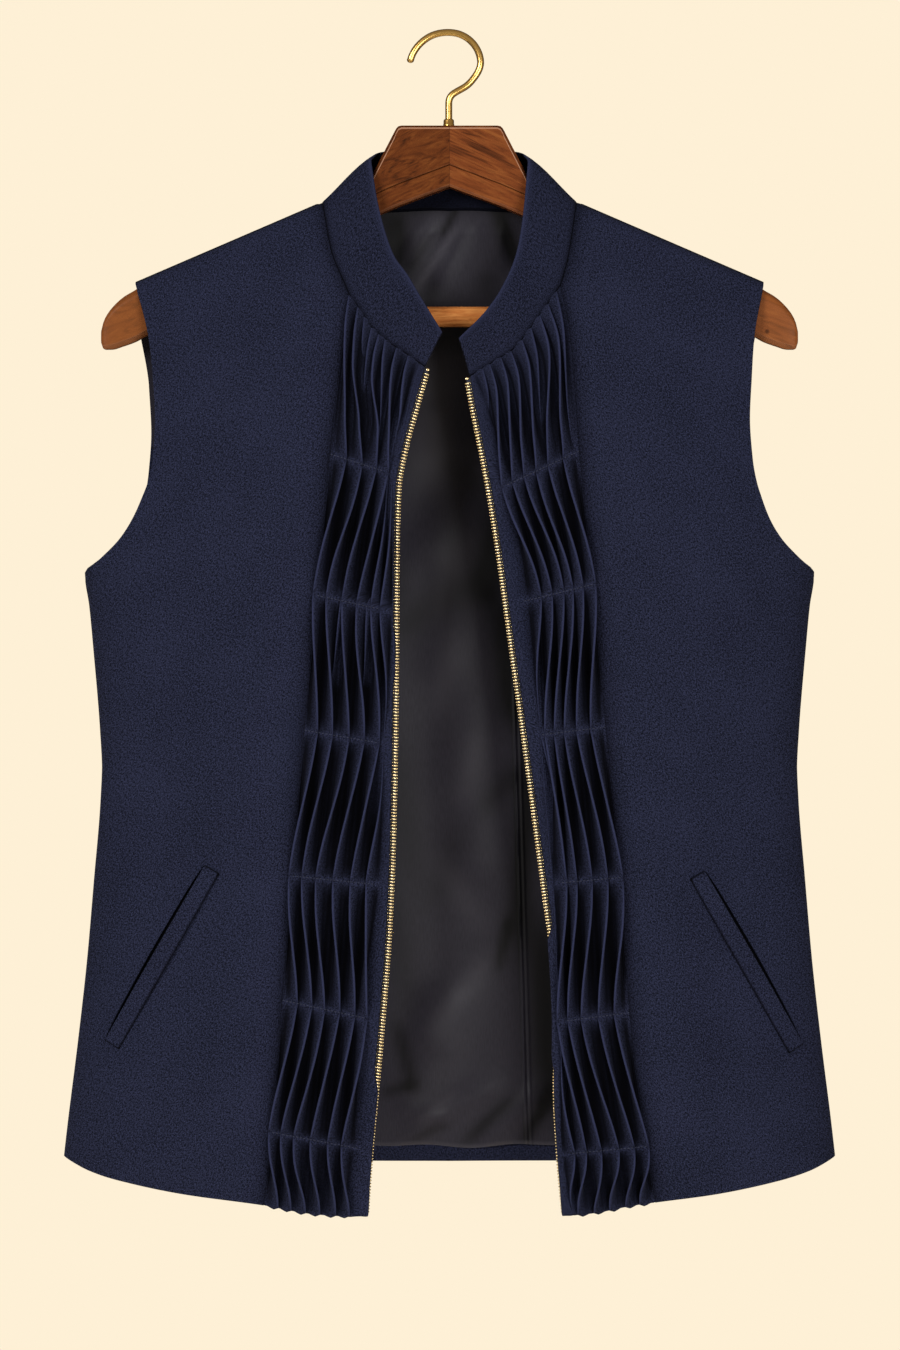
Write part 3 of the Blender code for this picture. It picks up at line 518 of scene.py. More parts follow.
# Painted shade in the hollows between them, where the loose satin falls into shade: the same,
# with how dark.
LINING_HOLLOW_SHADES = (
    (-45.3, 18.2, -29.7, 62.3, 7.8, 0.6),
    (-33.6, 22.6, 37.5, 21.8, 5, 0.7),
    (-30, 95, 30, 95, 14, 0.3),
    (-33, 30, -36, 58, 4.5, 0.85),
    (31, 24, 45, 60, 6, 0.9),
    (4.5, 26, -5, 43, 2.6, 0.7),
    (-15, 44, -33, 78, 3.4, 0.35),
    (24, 66, 30, 92, 9, 0.4),
    (-9.5, 72, -15, 90, 5, 0.4),
    (-19.3, 108.6, 22, 110.5, 9, 0.55),
    (22.5, 134.1, 27.7, 187.8, 8, 0.2),
    (-29, 184.3, -16.6, 200.8, 7.8, 0.2),
    (-2.3, 190.7, 31, 213.6, 8.8, 0.3),
    (36.8, 215.4, 20.6, 282.1, 13, 0.9),
    (-36.9, 300.7, 10, 271.2, 11, 0.5),
    (35.2, 282.8, 43.7, 358.2, 13, 0.9),
    (-36.2, 372.1, -24.5, 462, 11.7, 0.4),
    (54, 356, 44, 500, 9, 0.75),
    (21.2, 418, 43.3, 386.9, 7.2, 0.4),
    (38.1, 485.8, 31.6, 519.6, 3.9, 0.7),
    (62, 480, 66, 600, 14, 0.85),
    (-36.2, 473.1, -27.1, 546.4, 9.1, 0.35),
    (-34.9, 554.9, -23.2, 600.3, 5.2, 0.6),
    (-43.4, 598.1, -21.9, 596.6, 4.5, 0.55),
    (42, 602.3, 10.7, 635.3, 4.5, 0.6),
    (66.8, 591.4, 48.5, 629.5, 4.5, 0.65),
    (-2.3, 623.9, -24.5, 632.7, 3.2, 0.4),
    (8.1, 430.8, -11.4, 479.5, 10.4, 0.25),
    (-32.3, 252.2, -33.6, 284.6, 5.9, 0.3),
)
# Painted highlights where the satin turns enough to the light to shine: the same, with how
# bright.
LINING_PAINTED_GLINTS = (
    (-9.5, 31, -31, 58, 4, 0.12),
    (3.6, 40, -21, 76, 2.6, 0.35),
    (-14, 128, -12, 205, 13, 0.7),
    (11, 240, -10, 292, 9, 0.25),
    (3, 300, -6, 355, 9, 0.22),
    (19, 368, 10, 412, 8, 0.2),
    (-10, 448, 22, 494, 9, 0.16),
    (27, 512, -12, 562, 7, 0.2),
    (3, 604, -18, 620, 3.5, 0.25),
)
# The pleat for ease: where its fold starts and ends, as x and along.
PLEAT = (41, 300, 51, 640)
FLOAT_WIDTH, FLOAT_LENGTH = 0.8, 6
# The deepest charcoal is the colour of painted shade, and the glint colour that of painted
# highlights.
CHARCOAL, CHARCOAL_LIGHT, CHARCOAL_PAINTED_SHADE = "#1e1c24", "#2c2a33", "#040405"
SATIN_PAINTED_GLINT = "#4d4b52"


def satin_finish():
    """Satin lining: long floats along the warp, smooth and faintly shiny.

    Real floats are under 1 mm long and can't show; they are drawn 0.8 by 6 mm.
    """
    satin, tree, shader = new_finish("charcoal_satin_lining")
    lay = node(tree, "ShaderNodeUVMap", uv_map="weave")
    scale = (1000 / FLOAT_WIDTH, 1000 / FLOAT_LENGTH, 1)
    placed = node(tree, "ShaderNodeMapping", {"Vector": lay.outputs[0], "Scale": scale})
    floats = {"Vector": placed.outputs[0], "Scale": 1, "Detail": 2}
    warp = node(tree, "ShaderNodeTexNoise", floats, noise_dimensions="2D")
    dyed = {0: warp.outputs[0], 6: shade(CHARCOAL), 7: shade(CHARCOAL_LIGHT)}
    colour = node(tree, "ShaderNodeMix", dyed, data_type="RGBA")
    # Painted shade in the hollows and painted highlights on the folds.
    for mark, hue in (("fold_depth", CHARCOAL_PAINTED_SHADE), ("fold_edge", SATIN_PAINTED_GLINT)):
        where = node(tree, "ShaderNodeAttribute", attribute_name=mark)
        layer = {0: where.outputs["Fac"], 6: colour.outputs[2], 7: shade(hue)}
        colour = node(tree, "ShaderNodeMix", layer, data_type="RGBA")
    raised = {"Height": warp.outputs[0], "Strength": 0.08, "Distance": 0.0002}
    bump = node(tree, "ShaderNodeBump", raised)
    look = {"Base Color": colour.outputs[2], "Normal": bump.outputs[0], "Roughness": 0.4}
    fill(tree, shader, look | {"Specular IOR Level": 0.14, "Sheen Weight": 0.02})
    return satin


SATIN = satin_finish()

# The mesh has more columns where the pleat runs.
x, along = back_places(3.0, 1.2, np.linspace(0.172, 0.226, 19))
# It hangs inside the armholes, its hem waves a little, and its folds die away at its edges.
edge = np.clip((1 - np.abs(x) / np.abs(x).max(1, keepdims=True)) * 6, 0, 1)
top = np.maximum(along[-1] + LINING_BELOW_NECK, LINING_BELOW_RIDGE)
wave = 0.9 * np.sin(x[0] / 9) + 0.7 * np.sin(x[0] / 23 + 1)
bottom = along[0] - LINING_HEM + wave
share = (along - along[:1]) / (along[-1:] - along[:1])
along = mix(bottom[None, :], top[None, :], share)
x = x * np.where(x < 0, 0.995, 0.985)
ease = folds(x, along, LINING_FOLDS)
# The pleat shows as a ridge, a fainter one beside it, and the dark line of its fold in painted
# shade.
aside = x - np.interp(along, (PLEAT[1], PLEAT[3]), (PLEAT[0], PLEAT[2]))
pleat = 0.9 * np.clip(1 - np.abs(aside) / 1.2, 0, 1)
pleat += 0.5 * np.clip(1 - np.abs(aside - 3) / 1.2, 0, 1)
open_pleat = ramp(along, PLEAT[1], PLEAT[1] + 60)
ease += pleat * open_pleat
ease *= edge * np.clip((along - top[None, :]) / 14, 0, 1)
back_folds = folds(x, along, BACK_FOLDS) * ramp(along, *BACK_CALM)
inward = BODY_WALL + LINING_GAP + 0.4 - np.minimum(back_folds, 0) + ease
# Painted shade in the hollows, a little stronger lower down.
hollow = folds(x, along, LINING_HOLLOW_SHADES) * np.interp(along, (90, 130, 250), (1, 1.1, 1.25))
# Painted shade stands for the yoke's shadow on the satin just below the neck.
hollow += np.interp(along, (-10, 50, 95), (0.22, 0.22, 0))
hollow += 0.35 * np.clip(1 - np.abs(aside + 1.6), 0, 1) * open_pleat
painted_glint = folds(x, along, LINING_PAINTED_GLINTS)
# A painted highlight along the hem.
painted_glint[:1] = 0.35
lining = cloth_shell(
    "back_lining_satin",
    on_cloth(x, along, BACK, -inward - LINING_WALL),
    on_cloth(x, along, BACK, -inward),
    np.stack([x, along], -1),
    [SATIN],
    {"fold_depth": np.clip(hollow, 0, 0.95), "fold_edge": painted_glint},
)
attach(lining, "root")
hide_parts("back_lining")


# Front side panels
# The plain parts of the fronts, of the same fused wool, from the side seam to the tuck
# seam. They are lined with the satin, sewn at the forward shoulder seam and hang smooth.

HEM_BLEND = 0.12
HEM_DROPS = {"left": 751.3, "right": 749.5}
# Rough size of the panel, which sets how many cells its mesh has; its first column of them
# is only SEAM_CELL wide. ARMHOLE_TURN is how far each armhole's edge lies from the front's
# outline towards the back's.
PANEL_WIDTH, PANEL_LENGTH, SEAM_CELL = 170, 640, 0.6
ARMHOLE_TURN = {"left": 0, "right": 0.7}
FRONT_HEM = table(
    "out drop",
    (50, 758),
    (70, 757.8),
    (90, 756.3),
    (118, 751.3),
    (134, 749.2),
    (172, 744.6),
    (212, 737.3),
    (232, 732),
    (249.6, 724.6),
)
# The side panel's inner edge: first the neck, then the seam to the tuck panel.
NECK_EDGE = {
    "left": table("drop out", (107.3, 82.5), (142.6, 75.7), (161, 68.2), (171.5, 63.7)),
    "right": table("drop out", (107.3, 82.5), (146, 76.3), (164, 71.3)),
}
TUCK_SEAM = {
    "left": table(
        "drop out",
        (171.5, 63.7),
        (190, 67),
        (273, 76.2),
        (363, 84.5),
        (449, 92.8),
        (542, 100.4),
        (621, 106.7),
        (705, 113),
        (752, 118.3),
    ),
    "right": table(
        "drop out",
        (164, 71.3),
        (193.5, 76.9),
        (271, 82.9),
        (356, 91.5),
        (447, 99.8),
        (543, 109.3),
        (629, 114.8),
        (714, 125.7),
        (752, 131.4),
    ),
}
# Soft folds, as for the back, in distances out from the centre.
SIDE_FOLDS = {
    "left": (
        (88, 60, 96, 210, 9, 1.0),
        (104, 70, 118, 330, 16, -0.9),
        (150, 110, 170, 330, 20, 1.0),
        (190, 300, 160, 520, 22, -1.1),
        (130, 380, 150, 640, 20, 0.9),
        (212, 420, 225, 600, 12, 0.8),
        (180, 216, 225, 236, 9, 0.8),
    ),
    "right": (
        (92, 60, 100, 230, 9, 1.0),
        (112, 80, 120, 300, 16, -0.8),
        (160, 120, 176, 320, 20, 1.0),
        (186, 310, 168, 500, 22, -1.0),
        (146, 400, 160, 640, 20, 0.9),
        (180, 218, 226, 240, 9, 0.7),
    ),
}
# Middle line of each pocket welt, from its top end to its bottom end.
WELTS = {
    "left": {"top": (151.7, 538), "bottom": (216.3, 651)},
    "right": {"top": (158.3, 541.7), "bottom": (222.2, 653.8)},
}
WELT_WIDTH, MOUTH_WIDTH, MOUTH_STATIONS = 10.6, 3.0, 41


def inner_out(side, drop):
    """Half width of the inner edge: the neck above the corner, the tuck seam below it."""
    corner = TUCK_SEAM[side]["drop"][0]
    neck, seam = read(NECK_EDGE[side], "out", drop), read(TUCK_SEAM[side], "out", drop)
    return np.where(drop < corner, neck, seam)


def side_panel_places(side, cell):
    """A grid of (out, along) over a side panel, from the hem to the neck and shoulder."""
    inner_top = float(drop_of(NECK_OUT, BEND_LENGTH))
    outer_top = float(drop_of(TIP_OUT, BEND_LENGTH))
    hem = HEM_DROPS[side]
    corner = (hem - TUCK_SEAM[side]["drop"][0]) / (hem - inner_top)
    size = cell / PANEL_LENGTH
    w = np.concatenate([steps(0, corner, size)[:-1], steps(corner, 1, size)])
    inner_drop, outer_drop = mix(hem, inner_top, w), mix(HEM_CORNER_DROP, outer_top, w)
    bends = steps(BEND_LENGTH, RIDGE_RADIUS * SEAM_FORWARD + GAP / 2, 0.5)[1:]
    inner_drop = np.concatenate([inner_drop, drop_of(NECK_OUT, bends)])
    outer_drop = np.concatenate([outer_drop, drop_of(TIP_OUT, bends)])
    inner = inner_out(side, inner_drop) + GAP / 2
    outer = read(OUTLINE, "front", outer_drop)
    outer = mix(outer, read(OUTLINE, "back", outer_drop), ARMHOLE_TURN[side])
    ends = along_of(inner, inner_drop), along_of(outer, outer_drop)
    for end in ends:
        end[len(w) :] = bends
    u = np.append(side_places(round(PANEL_WIDTH / cell)), SEAM_CELL / PANEL_WIDTH)
    u = np.unique(u)
    out = mix(inner[:, None], outer[:, None], u[None, :])
    along = mix(ends[0][:, None], ends[1][:, None], u[None, :])
    sag = along_of(out[0], read(FRONT_HEM, "drop", out[0])) - along[0]
    weight = np.zeros(len(inner_drop))
    weight[: len(w)] = np.clip(1 - w / HEM_BLEND, 0, 1) ** 2
    return out, along + sag[None, :] * weight[:, None]


def welt_point(side, share, offset):
    """Out and drop at a share of the welt's length, `offset` beyond its middle line."""
    top, bottom = WELTS[side]["top"], WELTS[side]["bottom"]
    length = hypot(bottom[0] - top[0], bottom[1] - top[1])
    run = (bottom[0] - top[0]) / length, (bottom[1] - top[1]) / length
    out = mix(top[0], bottom[0], share) + run[1] * offset
    return out, mix(top[1], bottom[1], share) - run[0] * offset


def through_rings(rings, joined=False):
    """A closed solid through closed rings of points, its ends capped or joined."""
    form = bmesh.new()
    verts = [[form.verts.new(Vector(point) * MM) for point in ring] for ring in rings]
    for one, two in zip(verts, verts[1:] + verts[:1] * joined):
        for j in range(len(one)):
            k = (j + 1) % len(one)
            form.faces.new((one[j], one[k], two[k], two[j]))
    if not joined:
        form.faces.new(verts[0])
        form.faces.new(verts[-1])
    bmesh.ops.recalc_face_normals(form, faces=form.faces)
    return form


def cut_pocket_mouth(panel, side):
    """Cuts the slit between the panel and the open edge of its welt.

    The blade runs right through the cloth, from under the welt to the mouth's far edge.
    """
    shares = np.linspace(0.01, 0.99, MOUTH_STATIONS)
    width = MOUTH_WIDTH * np.sin(pi * shares**0.9) ** 0.5 + 0.05
    edges = []
    for offset, lift in ((-1.5, 3), (None, 3), (None, -4), (-1.5, -4)):
        reach = WELT_WIDTH / 2 + (width if offset is None else offset)
        out, drop = welt_point(side, shares, reach)
        place = SIDES[side] * out, along_of(out, drop), FRONT
        edges.append(on_cloth(*place, np.full(len(out), float(lift))))
    blade = through_rings(np.stack(edges, axis=1))
    cutter = link_in("blade", as_mesh("blade", blade))
    cut = panel.modifiers.new("mouth", "BOOLEAN")
    cut.operation, cut.solver, cut.object = "DIFFERENCE", "EXACT", cutter
    seen = panel.evaluated_get(bpy.context.evaluated_depsgraph_get())
    done = bpy.data.meshes.new_from_object(seen)
    panel.modifiers.clear()
    panel.data = done
    bpy.data.objects.remove(cutter)


for side, sign in SIDES.items():
    out, along = side_panel_places(side, 3.2)
    # Painted shade beside the tuck seam, darkest at the seam and gone 11 mm out.
    seam_shade = np.interp(out[0] - out[0, 0], (0, 0.7, 4, 11), (0.65, 0.55, 0.26, 0))
    from_seam = out - inner_out(side, 400.0)
    calm = ramp(along, 30, 70) * np.clip((from_seam + 10) / 20, 0, 1) * ramp(out, 236, 216)
    lift = folds(out, along, SIDE_FOLDS[side]) * calm
    panel = cloth_shell(
        f"front_side_{side}_wool",
        on_cloth(sign * out, along, FRONT, lift),
        on_cloth(sign * out, along, FRONT, lift - BODY_WALL),
        np.stack([sign * out, along], -1),
        [WOOL, SATIN],
        {"fold_depth": np.broadcast_to(seam_shade, out.shape)},
    )
    cut_pocket_mouth(panel, side)
    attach(panel, "root")
    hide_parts(f"front_side_{side}")


# Tuck panels
# Finer wool with six narrow tucks stitched down their roots. Rows of machine stitching
# press the tucks flat, by turns towards the zip and the side seam, so that each one waves.

TUCK_WALL = 1.2
# How far a tuck reaches from its root, and how far near the neck; the share of that where
# it has died away; and half its thickness.
TUCK_DEPTH, NECK_TUCK_DEPTH, FADED, TUCK_HALF = 6.5, 4.5, 0.12, 0.62
# The most that a tuck leans, and leans right under a row; the rough distance from row to
# row; how far each way a row presses a tuck; and how much its wave drifts by chance.
TUCK_LEAN, PRESSED_LEAN = radians(75), radians(84)
ROW_SPACING, PRESSED_SPAN = 80, 2.2
WAVE_DRIFT, WAVE_SEED = 0.045, {"left": 11, "right": 12}
# Stations down the panel before the first row and between rows, and the shares of a long
# and a short tuck's height, and of the ground before each, that have points.
NECK_STATIONS, ROW_STATIONS = 44, 26
UP_TUCK, UP_SHORT = (0.1, 0.32, 0.55, 0.76, 0.92), (0.3, 0.85)
GROUND, SHORT_GROUND = (0.1, 0.26, 0.42, 0.58, 0.74, 0.9), (0.3, 0.7)
# The middle of the zip's teeth; the two fronts hang a little differently.
ZIP_LINE = table(
    "drop left right",
    (217, 13.7, 10),
    (243, 21, 14.6),
    (268.5, 27.7, 19.7),
    (294, 32.2, 24.5),
    (332, 33.5, 30.6),
    (396, 33.9, 39.5),
    (460, 34.6, 48.4),
    (523, 36, 56.7),
    (574, 38.2, 63.6),
    (590, 39.2, 66),
    (640, 43.2, 68.2),
    (676, 46.4, 67.6),
    (714.5, 50.1, 69.4),
    (758, 53.4, 73.2),
)
# How far the chain's centre lies beyond the cloth's fold. Where it is negative the fold
# covers the chain, or lets only the ends of its teeth show.
CHAIN_SHOWS = table(
    "place left right",
    (0, 2.4, 2.4),
    (2.1, 2.4, 2.4),
    (2.22, 0.9, 2.4),
    (2.45, 0.9, 2.4),
    (2.58, 2.4, 2.4),
    (4.28, 2.4, 2.4),
    (4.42, 2.4, -2.8),
    (5.22, 2.4, -2.8),
    (5.36, 2.4, -1),
    (5.5, -0.9, -0.9),
    (6.4, -1, -1),
    (6.9, -1.4, -1.4),
    (7, -1.4, -1.4),
)
# Neck edge of the tuck panels: how far it dips below a straight line from seam to zip.
NECK_DIP = table(
    "across left right",
    (0, 0, 0),
    (0.14, 3, 3.8),
    (0.29, 7.2, 7.5),
    (0.5, 6.4, 10.8),
    (0.72, 3.4, 6.5),
    (1, 0, 0),
)
# The neck edge, the stitched rows and the hem: each one's drop at the tuck seam and at the
# zip, how many tucks have their full depth there, and the tucks' distances from the seam.
TUCK_ROWS = {
    "left": table(
        "row seam zip full one two three four five six",
        (0, 171.5, 217, 5, 3.2, 8.9, 22.3, 33.8, 41.4, 45.2),
        (0.35, 207, 241.3, 5, 3.5, 9.2, 21.2, 32.6, 40, 43.6),
        (0.7, 242.6, 265.7, 4, 4.2, 13.8, 25.4, 32.2, 38, 41),
        (1, 273, 286.5, 4, 4.3, 14.4, 23.4, 31, 36.4, 39.4),
        (2, 363, 373.5, 6, 3.2, 11.6, 21.7, 31, 40, 46),
        (3, 449, 458.5, 5, 2.6, 12.1, 22.7, 32.4, 42, 50),
        (4, 542, 548, 6, 3.8, 12.1, 21, 31.9, 43, 53),
        (5, 621, 634, 6, 3.8, 13, 21.2, 30.8, 40.4, 48.2),
        (6, 705, 716.5, 6, 3.8, 11.5, 19.7, 30.3, 41.2, 50),
        (7, 751.3, 757.5, 6, 3.2, 11.4, 20.6, 29.7, 39.7, 48.5),
    ),
    "right": table(
        "row seam zip full one two three four five six",
        (0, 164, 223, 6, 12.4, 17.5, 29, 36, 42.5, 49.5),
        (0.35, 201.5, 248.9, 6, 9, 15.2, 27.9, 34.6, 41.6, 49.2),
        (0.7, 238.9, 274.8, 6, 8, 16.2, 25.8, 33.2, 39.6, 47.4),
        (1, 271, 297, 6, 4.3, 14, 21.6, 29.2, 36.6, 43.4),
        (2, 356, 369, 6, 4.1, 12.1, 18.6, 24.5, 31.9, 38.9),
        (3, 447, 453, 5, 3.8, 12.7, 20.6, 27, 33, 41),
        (4, 543, 547, 5, 4.7, 14.3, 24.3, 34, 40.5, 44),
        (5, 629, 635, 5, 4, 14.1, 25, 33.5, 40.3, 43.8),
        (6, 714, 719, 6, 4.8, 14, 23.9, 35, 44.5, 52),
        (7, 749.5, 758, 5, 4, 13, 23.2, 33.1, 43.2, 51),
    ),
}
TUCKS = ("one", "two", "three", "four", "five", "six")
LAST_ROW = 7
# Short tucks, which run out between the rows: how many long tucks come before each, the
# places of its start and end, its root's distances from the seam there, and its share of
# the way to the next long tuck where it has died away.
SHORT_TUCKS = {
    "left": (
        (2, 0, 0.24, 13.2, 12.4, 0.35),
        (2, 0, 0.48, 17.8, 15.8, 0.65),
        (3, 0, 0.8, 26.4, 27.8, 0.5),
        (2, 2, 2.62, 19, 13.6, 0.6),
        (4, 2, 2.6, 35.5, 33.8, 0.4),
    ),
    "right": (
        (0, 0, 0.97, 6.8, 2.8, 0.35),
        (2, 0, 0.7, 23.2, 21.4, 0.5),
        (6, 0, 0.34, 54, 52.6, 0.14),
        (5, 3, 3.6, 37.4, 35.6, 0.5),
    ),
}


def panel_width(side, place):
    """Width of the tuck panel at places from 0 at the neck to 7 at the hem."""
    rows = TUCK_ROWS[side]
    seam_drop, zip_drop = read(rows, "seam", place), read(rows, "zip", place)
    seam_out = read(TUCK_SEAM[side], "out", seam_drop) - GAP / 2
    return seam_out - read(ZIP_LINE, side, zip_drop) - read(CHAIN_SHOWS, side, place)


def panel_lay(side, place, beside):
    """x and along of points that lie `beside` millimetres from the tuck seam."""
    rows = TUCK_ROWS[side]
    seam_drop, zip_drop = read(rows, "seam", place), read(rows, "zip", place)
    seam_out = read(TUCK_SEAM[side], "out", seam_drop) - GAP / 2
    width = panel_width(side, place)
    q = beside / width
    drop = mix(seam_drop, zip_drop, q)
    drop = drop + (read(NECK_DIP, side, q) + GAP / 2) * np.clip(1 - place, 0, 1) ** 2
    out = seam_out - beside + 0 * drop
    hem_share = np.clip(place - LAST_ROW + 1, 0, 1) ** 2
    straight_hem = mix(rows["seam"][-1], rows["zip"][-1], q)
    drop = drop + (read(FRONT_HEM, "drop", out) - straight_hem) * hem_share
    return SIDES[side] * out, along_of(out, drop)


def tuck_lines(side, place):
    """Root, reach and share of life of each tuck at each place, from the seam to the zip."""
    rows = TUCK_ROWS[side]
    lines = []
    for i, name in enumerate(TUCKS):
        most = np.where(rows["row"] < 1, NECK_TUCK_DEPTH, TUCK_DEPTH)
        most = np.where(i < rows["full"], most, most * FADED)
        reach = read(rows | {"reach": most}, "reach", place)
        lines.append((read(rows, name, place), reach, 1 + 0 * place))
    walls = [0 * place] + [root for root, _, _ in lines] + [panel_width(side, place)]
    shorts = sorted(SHORT_TUCKS[side], key=lambda short: -short[0])
    for before, first, last, start, end, rest in shorts:
        share = np.clip((place - first) / (last - first), 0, 1)
        life = (1 - share) * np.clip(1 + (place - first) * 12, 0, 1)
        away = np.maximum(first - place, place - last)
        between = mix(walls[before], walls[before + 1], rest)
        root = mix(mix(start, end, share), between, np.clip(away * 5, 0, 1))
        lines.insert(before, (root, NECK_TUCK_DEPTH * life**0.5, life**0.3))
    return lines


def tuck_section(side, place):
    """Outer section of the panel at each place: beside, lift, painted highlight and painted
    shade.

    Also gives which points lie at either side of each tuck's root, and where.
    """
    chance = np.random.default_rng(WAVE_SEED[side])
    count, width = len(place), panel_width(side, place)
    part, row = place % 1, np.floor(place)
    part, row = np.where(place >= LAST_ROW, 1, part), np.minimum(row, LAST_ROW - 1)
    rising, shallow = np.sin(pi * part), np.clip(1 - place, 0, 1)
    towards = np.where(row % 2 == 0, -1, 1)
    pressed = np.exp(-((np.minimum(part, 1 - part) * ROW_SPACING / PRESSED_SPAN) ** 2))
    inner_row = np.clip(np.minimum(place, LAST_ROW - place) * 4, 0, 1)
    full = mix(TUCK_DEPTH, NECK_TUCK_DEPTH, shallow)
    # Near the neck the tucks are low, and the painted shade is lighter on their faces on the
    # viewer's left, towards the key light.
    glow = 0.55 * shallow
    near_glow, far_glow = glow * (side == "left"), glow * (side == "right")
    beside, lift, edge, depth, roots = [], [], [], [], []

    def add(s, h, highlight_paint=0.0, shade_paint=0.0):
        """One line of points down the panel, a point at each place."""
        for held, value in ((beside, s), (lift, h), (edge, highlight_paint), (depth, shade_paint)):
            held.append(np.broadcast_to(value, (count,)).astype(float))

    def add_ground(start, end, shares, deep, tips):
        """The cloth between two tucks, in painted shade, darkest where a tuck's tip lies on it
        and lighter towards the key light near the neck.
        """
        for share in shares:
            dip = -0.5 * rising * sin(pi * share)
            here = mix(start, end, share)
            touching = sum(np.exp(-(((here - tip) / 1.1) ** 2)) * strong for tip, strong in tips)
            lit = 0.8 * shallow * (share if side == "left" else 1 - share)
            shadow = deep * (0.93 + 0.06 * sin(pi * share)) * (1 - lit) + touching
            add(here, dip, 0, np.clip(shadow, 0, 1))

    # The edge at the tuck seam and the first gap get painted shade.
    add(0, 0, 0, 0.5)
    last_foot, last_gap_shade, tips = 0.5 + 0 * place, np.clip(1.2 * rising, 0, 1), []
    for root, reach, life in tuck_lines(side, place):
        long = life.min() == 1
        ups = UP_TUCK if long else UP_SHORT
        # From row to row the tuck swings over from one side to the other.
        drifts = chance.normal(0, WAVE_DRIFT, LAST_ROW + 1)
        turn = np.clip(part + np.interp(place, np.arange(LAST_ROW + 1), drifts) * rising, 0, 1)
        wave = mix(np.cos(pi * turn), 1 - 2 * turn, 0.65)
        most = np.sin(mix(TUCK_LEAN, PRESSED_LEAN, pressed * inner_row))
        lean = np.arcsin(towards * wave * most)
        # Halfway it stands up, is a little fuller, and leaves deep gaps on both sides; deep is
        # the painted shade in them.
        upright = np.sqrt(np.clip(1 - (lean / TUCK_LEAN) ** 2, 0, 1)) * reach / full
        half = TUCK_HALF * (1 + 0.3 * upright) * np.minimum(1, 0.3 + reach / full)
        half = half * mix(0.3, 1, life)
        reach = reach * (1 + 0.12 * rising) - half * life
        foot = half + mix(0.1, 0.9, life)
        deep = np.clip(upright * 1.4, 0, 1) * (1 - 0.3 * np.clip(place - 6, 0, 1))
        deep = np.maximum(deep, last_gap_shade * (1 - life))
        here = root + np.sin(lean) * reach
        near = np.clip(-lean / TUCK_LEAN, 0, 1) * life
        far = np.clip(lean / TUCK_LEAN, 0, 1) * life
        ground = GROUND if long else SHORT_GROUND
        between = (last_gap_shade + deep) / 2
        add_ground(last_foot, root - foot, ground, between, tips + [(here, near)])
        tips = [(here, far)]
        # Its near foot, then up the near face, round the fold and down the far face.
        flat = -0.3 * rising * (1 - life)
        # The feet lie in painted shade.
        add(root - foot, flat, 0, deep * 0.9)
        add(root - half * 1.2, 0.25 * life + flat, 0, deep * 0.9)
        roots.append((len(beside) - 1, root - half * 2))
        tilt = [lean * (0.86 + 0.28 * t) for t in ups]
        across, up, before = 0 * place, 0 * place, 0.0
        middle = []
        for t, way in zip(ups, tilt):
            across = across + np.sin(way) * reach * (t - before)
            up = up + np.cos(way) * reach * (t - before)
            before = t
            middle.append((root + across, up, way))
        end = tilt[-1]
        tip = root + across + np.sin(end) * reach * (1 - before)
        top = up + np.cos(end) * reach * (1 - before)
        for t, (s, h, way) in zip(ups, middle):
            # Painted shade on the faces, deepest low down, and near black on a face that the tuck
            # leans over.
            shadow = deep * mix(1, 1 - t**0.95, life) * (1 - near_glow) + near * 0.95
            side_s, side_h = s - np.cos(way) * half, h + np.sin(way) * half
            add(side_s, np.maximum(side_h, 0.05) * life + flat, 0, np.clip(shadow, 0, 1))
        for angle in (-0.8, 0, 0.8):
            tip_s = tip + half * (np.sin(end) * cos(angle) + np.cos(end) * sin(angle))
            tip_h = top + half * (np.cos(end) * cos(angle) - np.sin(end) * sin(angle))
            # The fold edge gets a painted highlight, and painted shade where a row presses it.
            lit = (0.25 + 0.5 * deep) * life
            shaded = mix(deep, pressed * 0.4 * inner_row, life)
            add(tip_s, np.maximum(tip_h, 0.05) * life + flat, lit, shaded)
        for t, (s, h, way) in reversed(list(zip(ups, middle))):
            shadow = deep * mix(1, 1 - t**0.95, life) * (1 - far_glow) + far * 0.95
            side_s, side_h = s + np.cos(way) * half, h - np.sin(way) * half
            add(side_s, np.maximum(side_h, 0.05) * life + flat, 0, np.clip(shadow, 0, 1))
        add(root + half * 1.2, 0.25 * life + flat, 0, deep * 0.9)
        roots.append((len(beside) - 1, root + half * 2))
        add(root + foot, flat, 0, deep * 0.9)
        last_foot, last_gap_shade = root + foot, deep
    # The plain strip beside the zip, with painted shade fading out from the last tuck.
    for share in (0.1, 0.25, 0.5, 0.75, 1):
        shadow = last_gap_shade * 0.7 * (1 - share) ** 2
        add(mix(last_foot, width - 0.6, share), 0, 0, shadow)
    add(width, 0)
    return *[np.stack(held, axis=1) for held in (beside, lift, edge, depth)], roots


def under_tucks(side, place, count, roots):
    """The panel's inner side at as many points, gathered under the root of each tuck."""
    shares = [0] + [i for i, _ in roots] + [count - 1]
    marks = [0 * place] + [mark for _, mark in roots] + [panel_width(side, place)]
    at = np.arange(count)
    return np.stack([np.interp(at, shares, [m[k] for m in marks]) for k in range(len(place))])


def length_along(points, axis):
    """Distance run so far at each point of a path, or of a grid along one of its axes."""
    start = np.take(points, [0], axis=axis)
    strides = np.diff(points, axis=axis, prepend=start)
    return np.linalg.norm(strides, axis=-1).cumsum(axis=axis)


def stations():
    """Places down the panel, closer together where a row presses the tucks."""
    places = [np.zeros(1)]
    for row in range(LAST_ROW):
        part = np.linspace(0, 1, (ROW_STATIONS if row else NECK_STATIONS) + 1)[1:]
        places.append(row + part - 0.5 * np.sin(2 * pi * part) / (2 * pi))
    return np.concatenate(places)


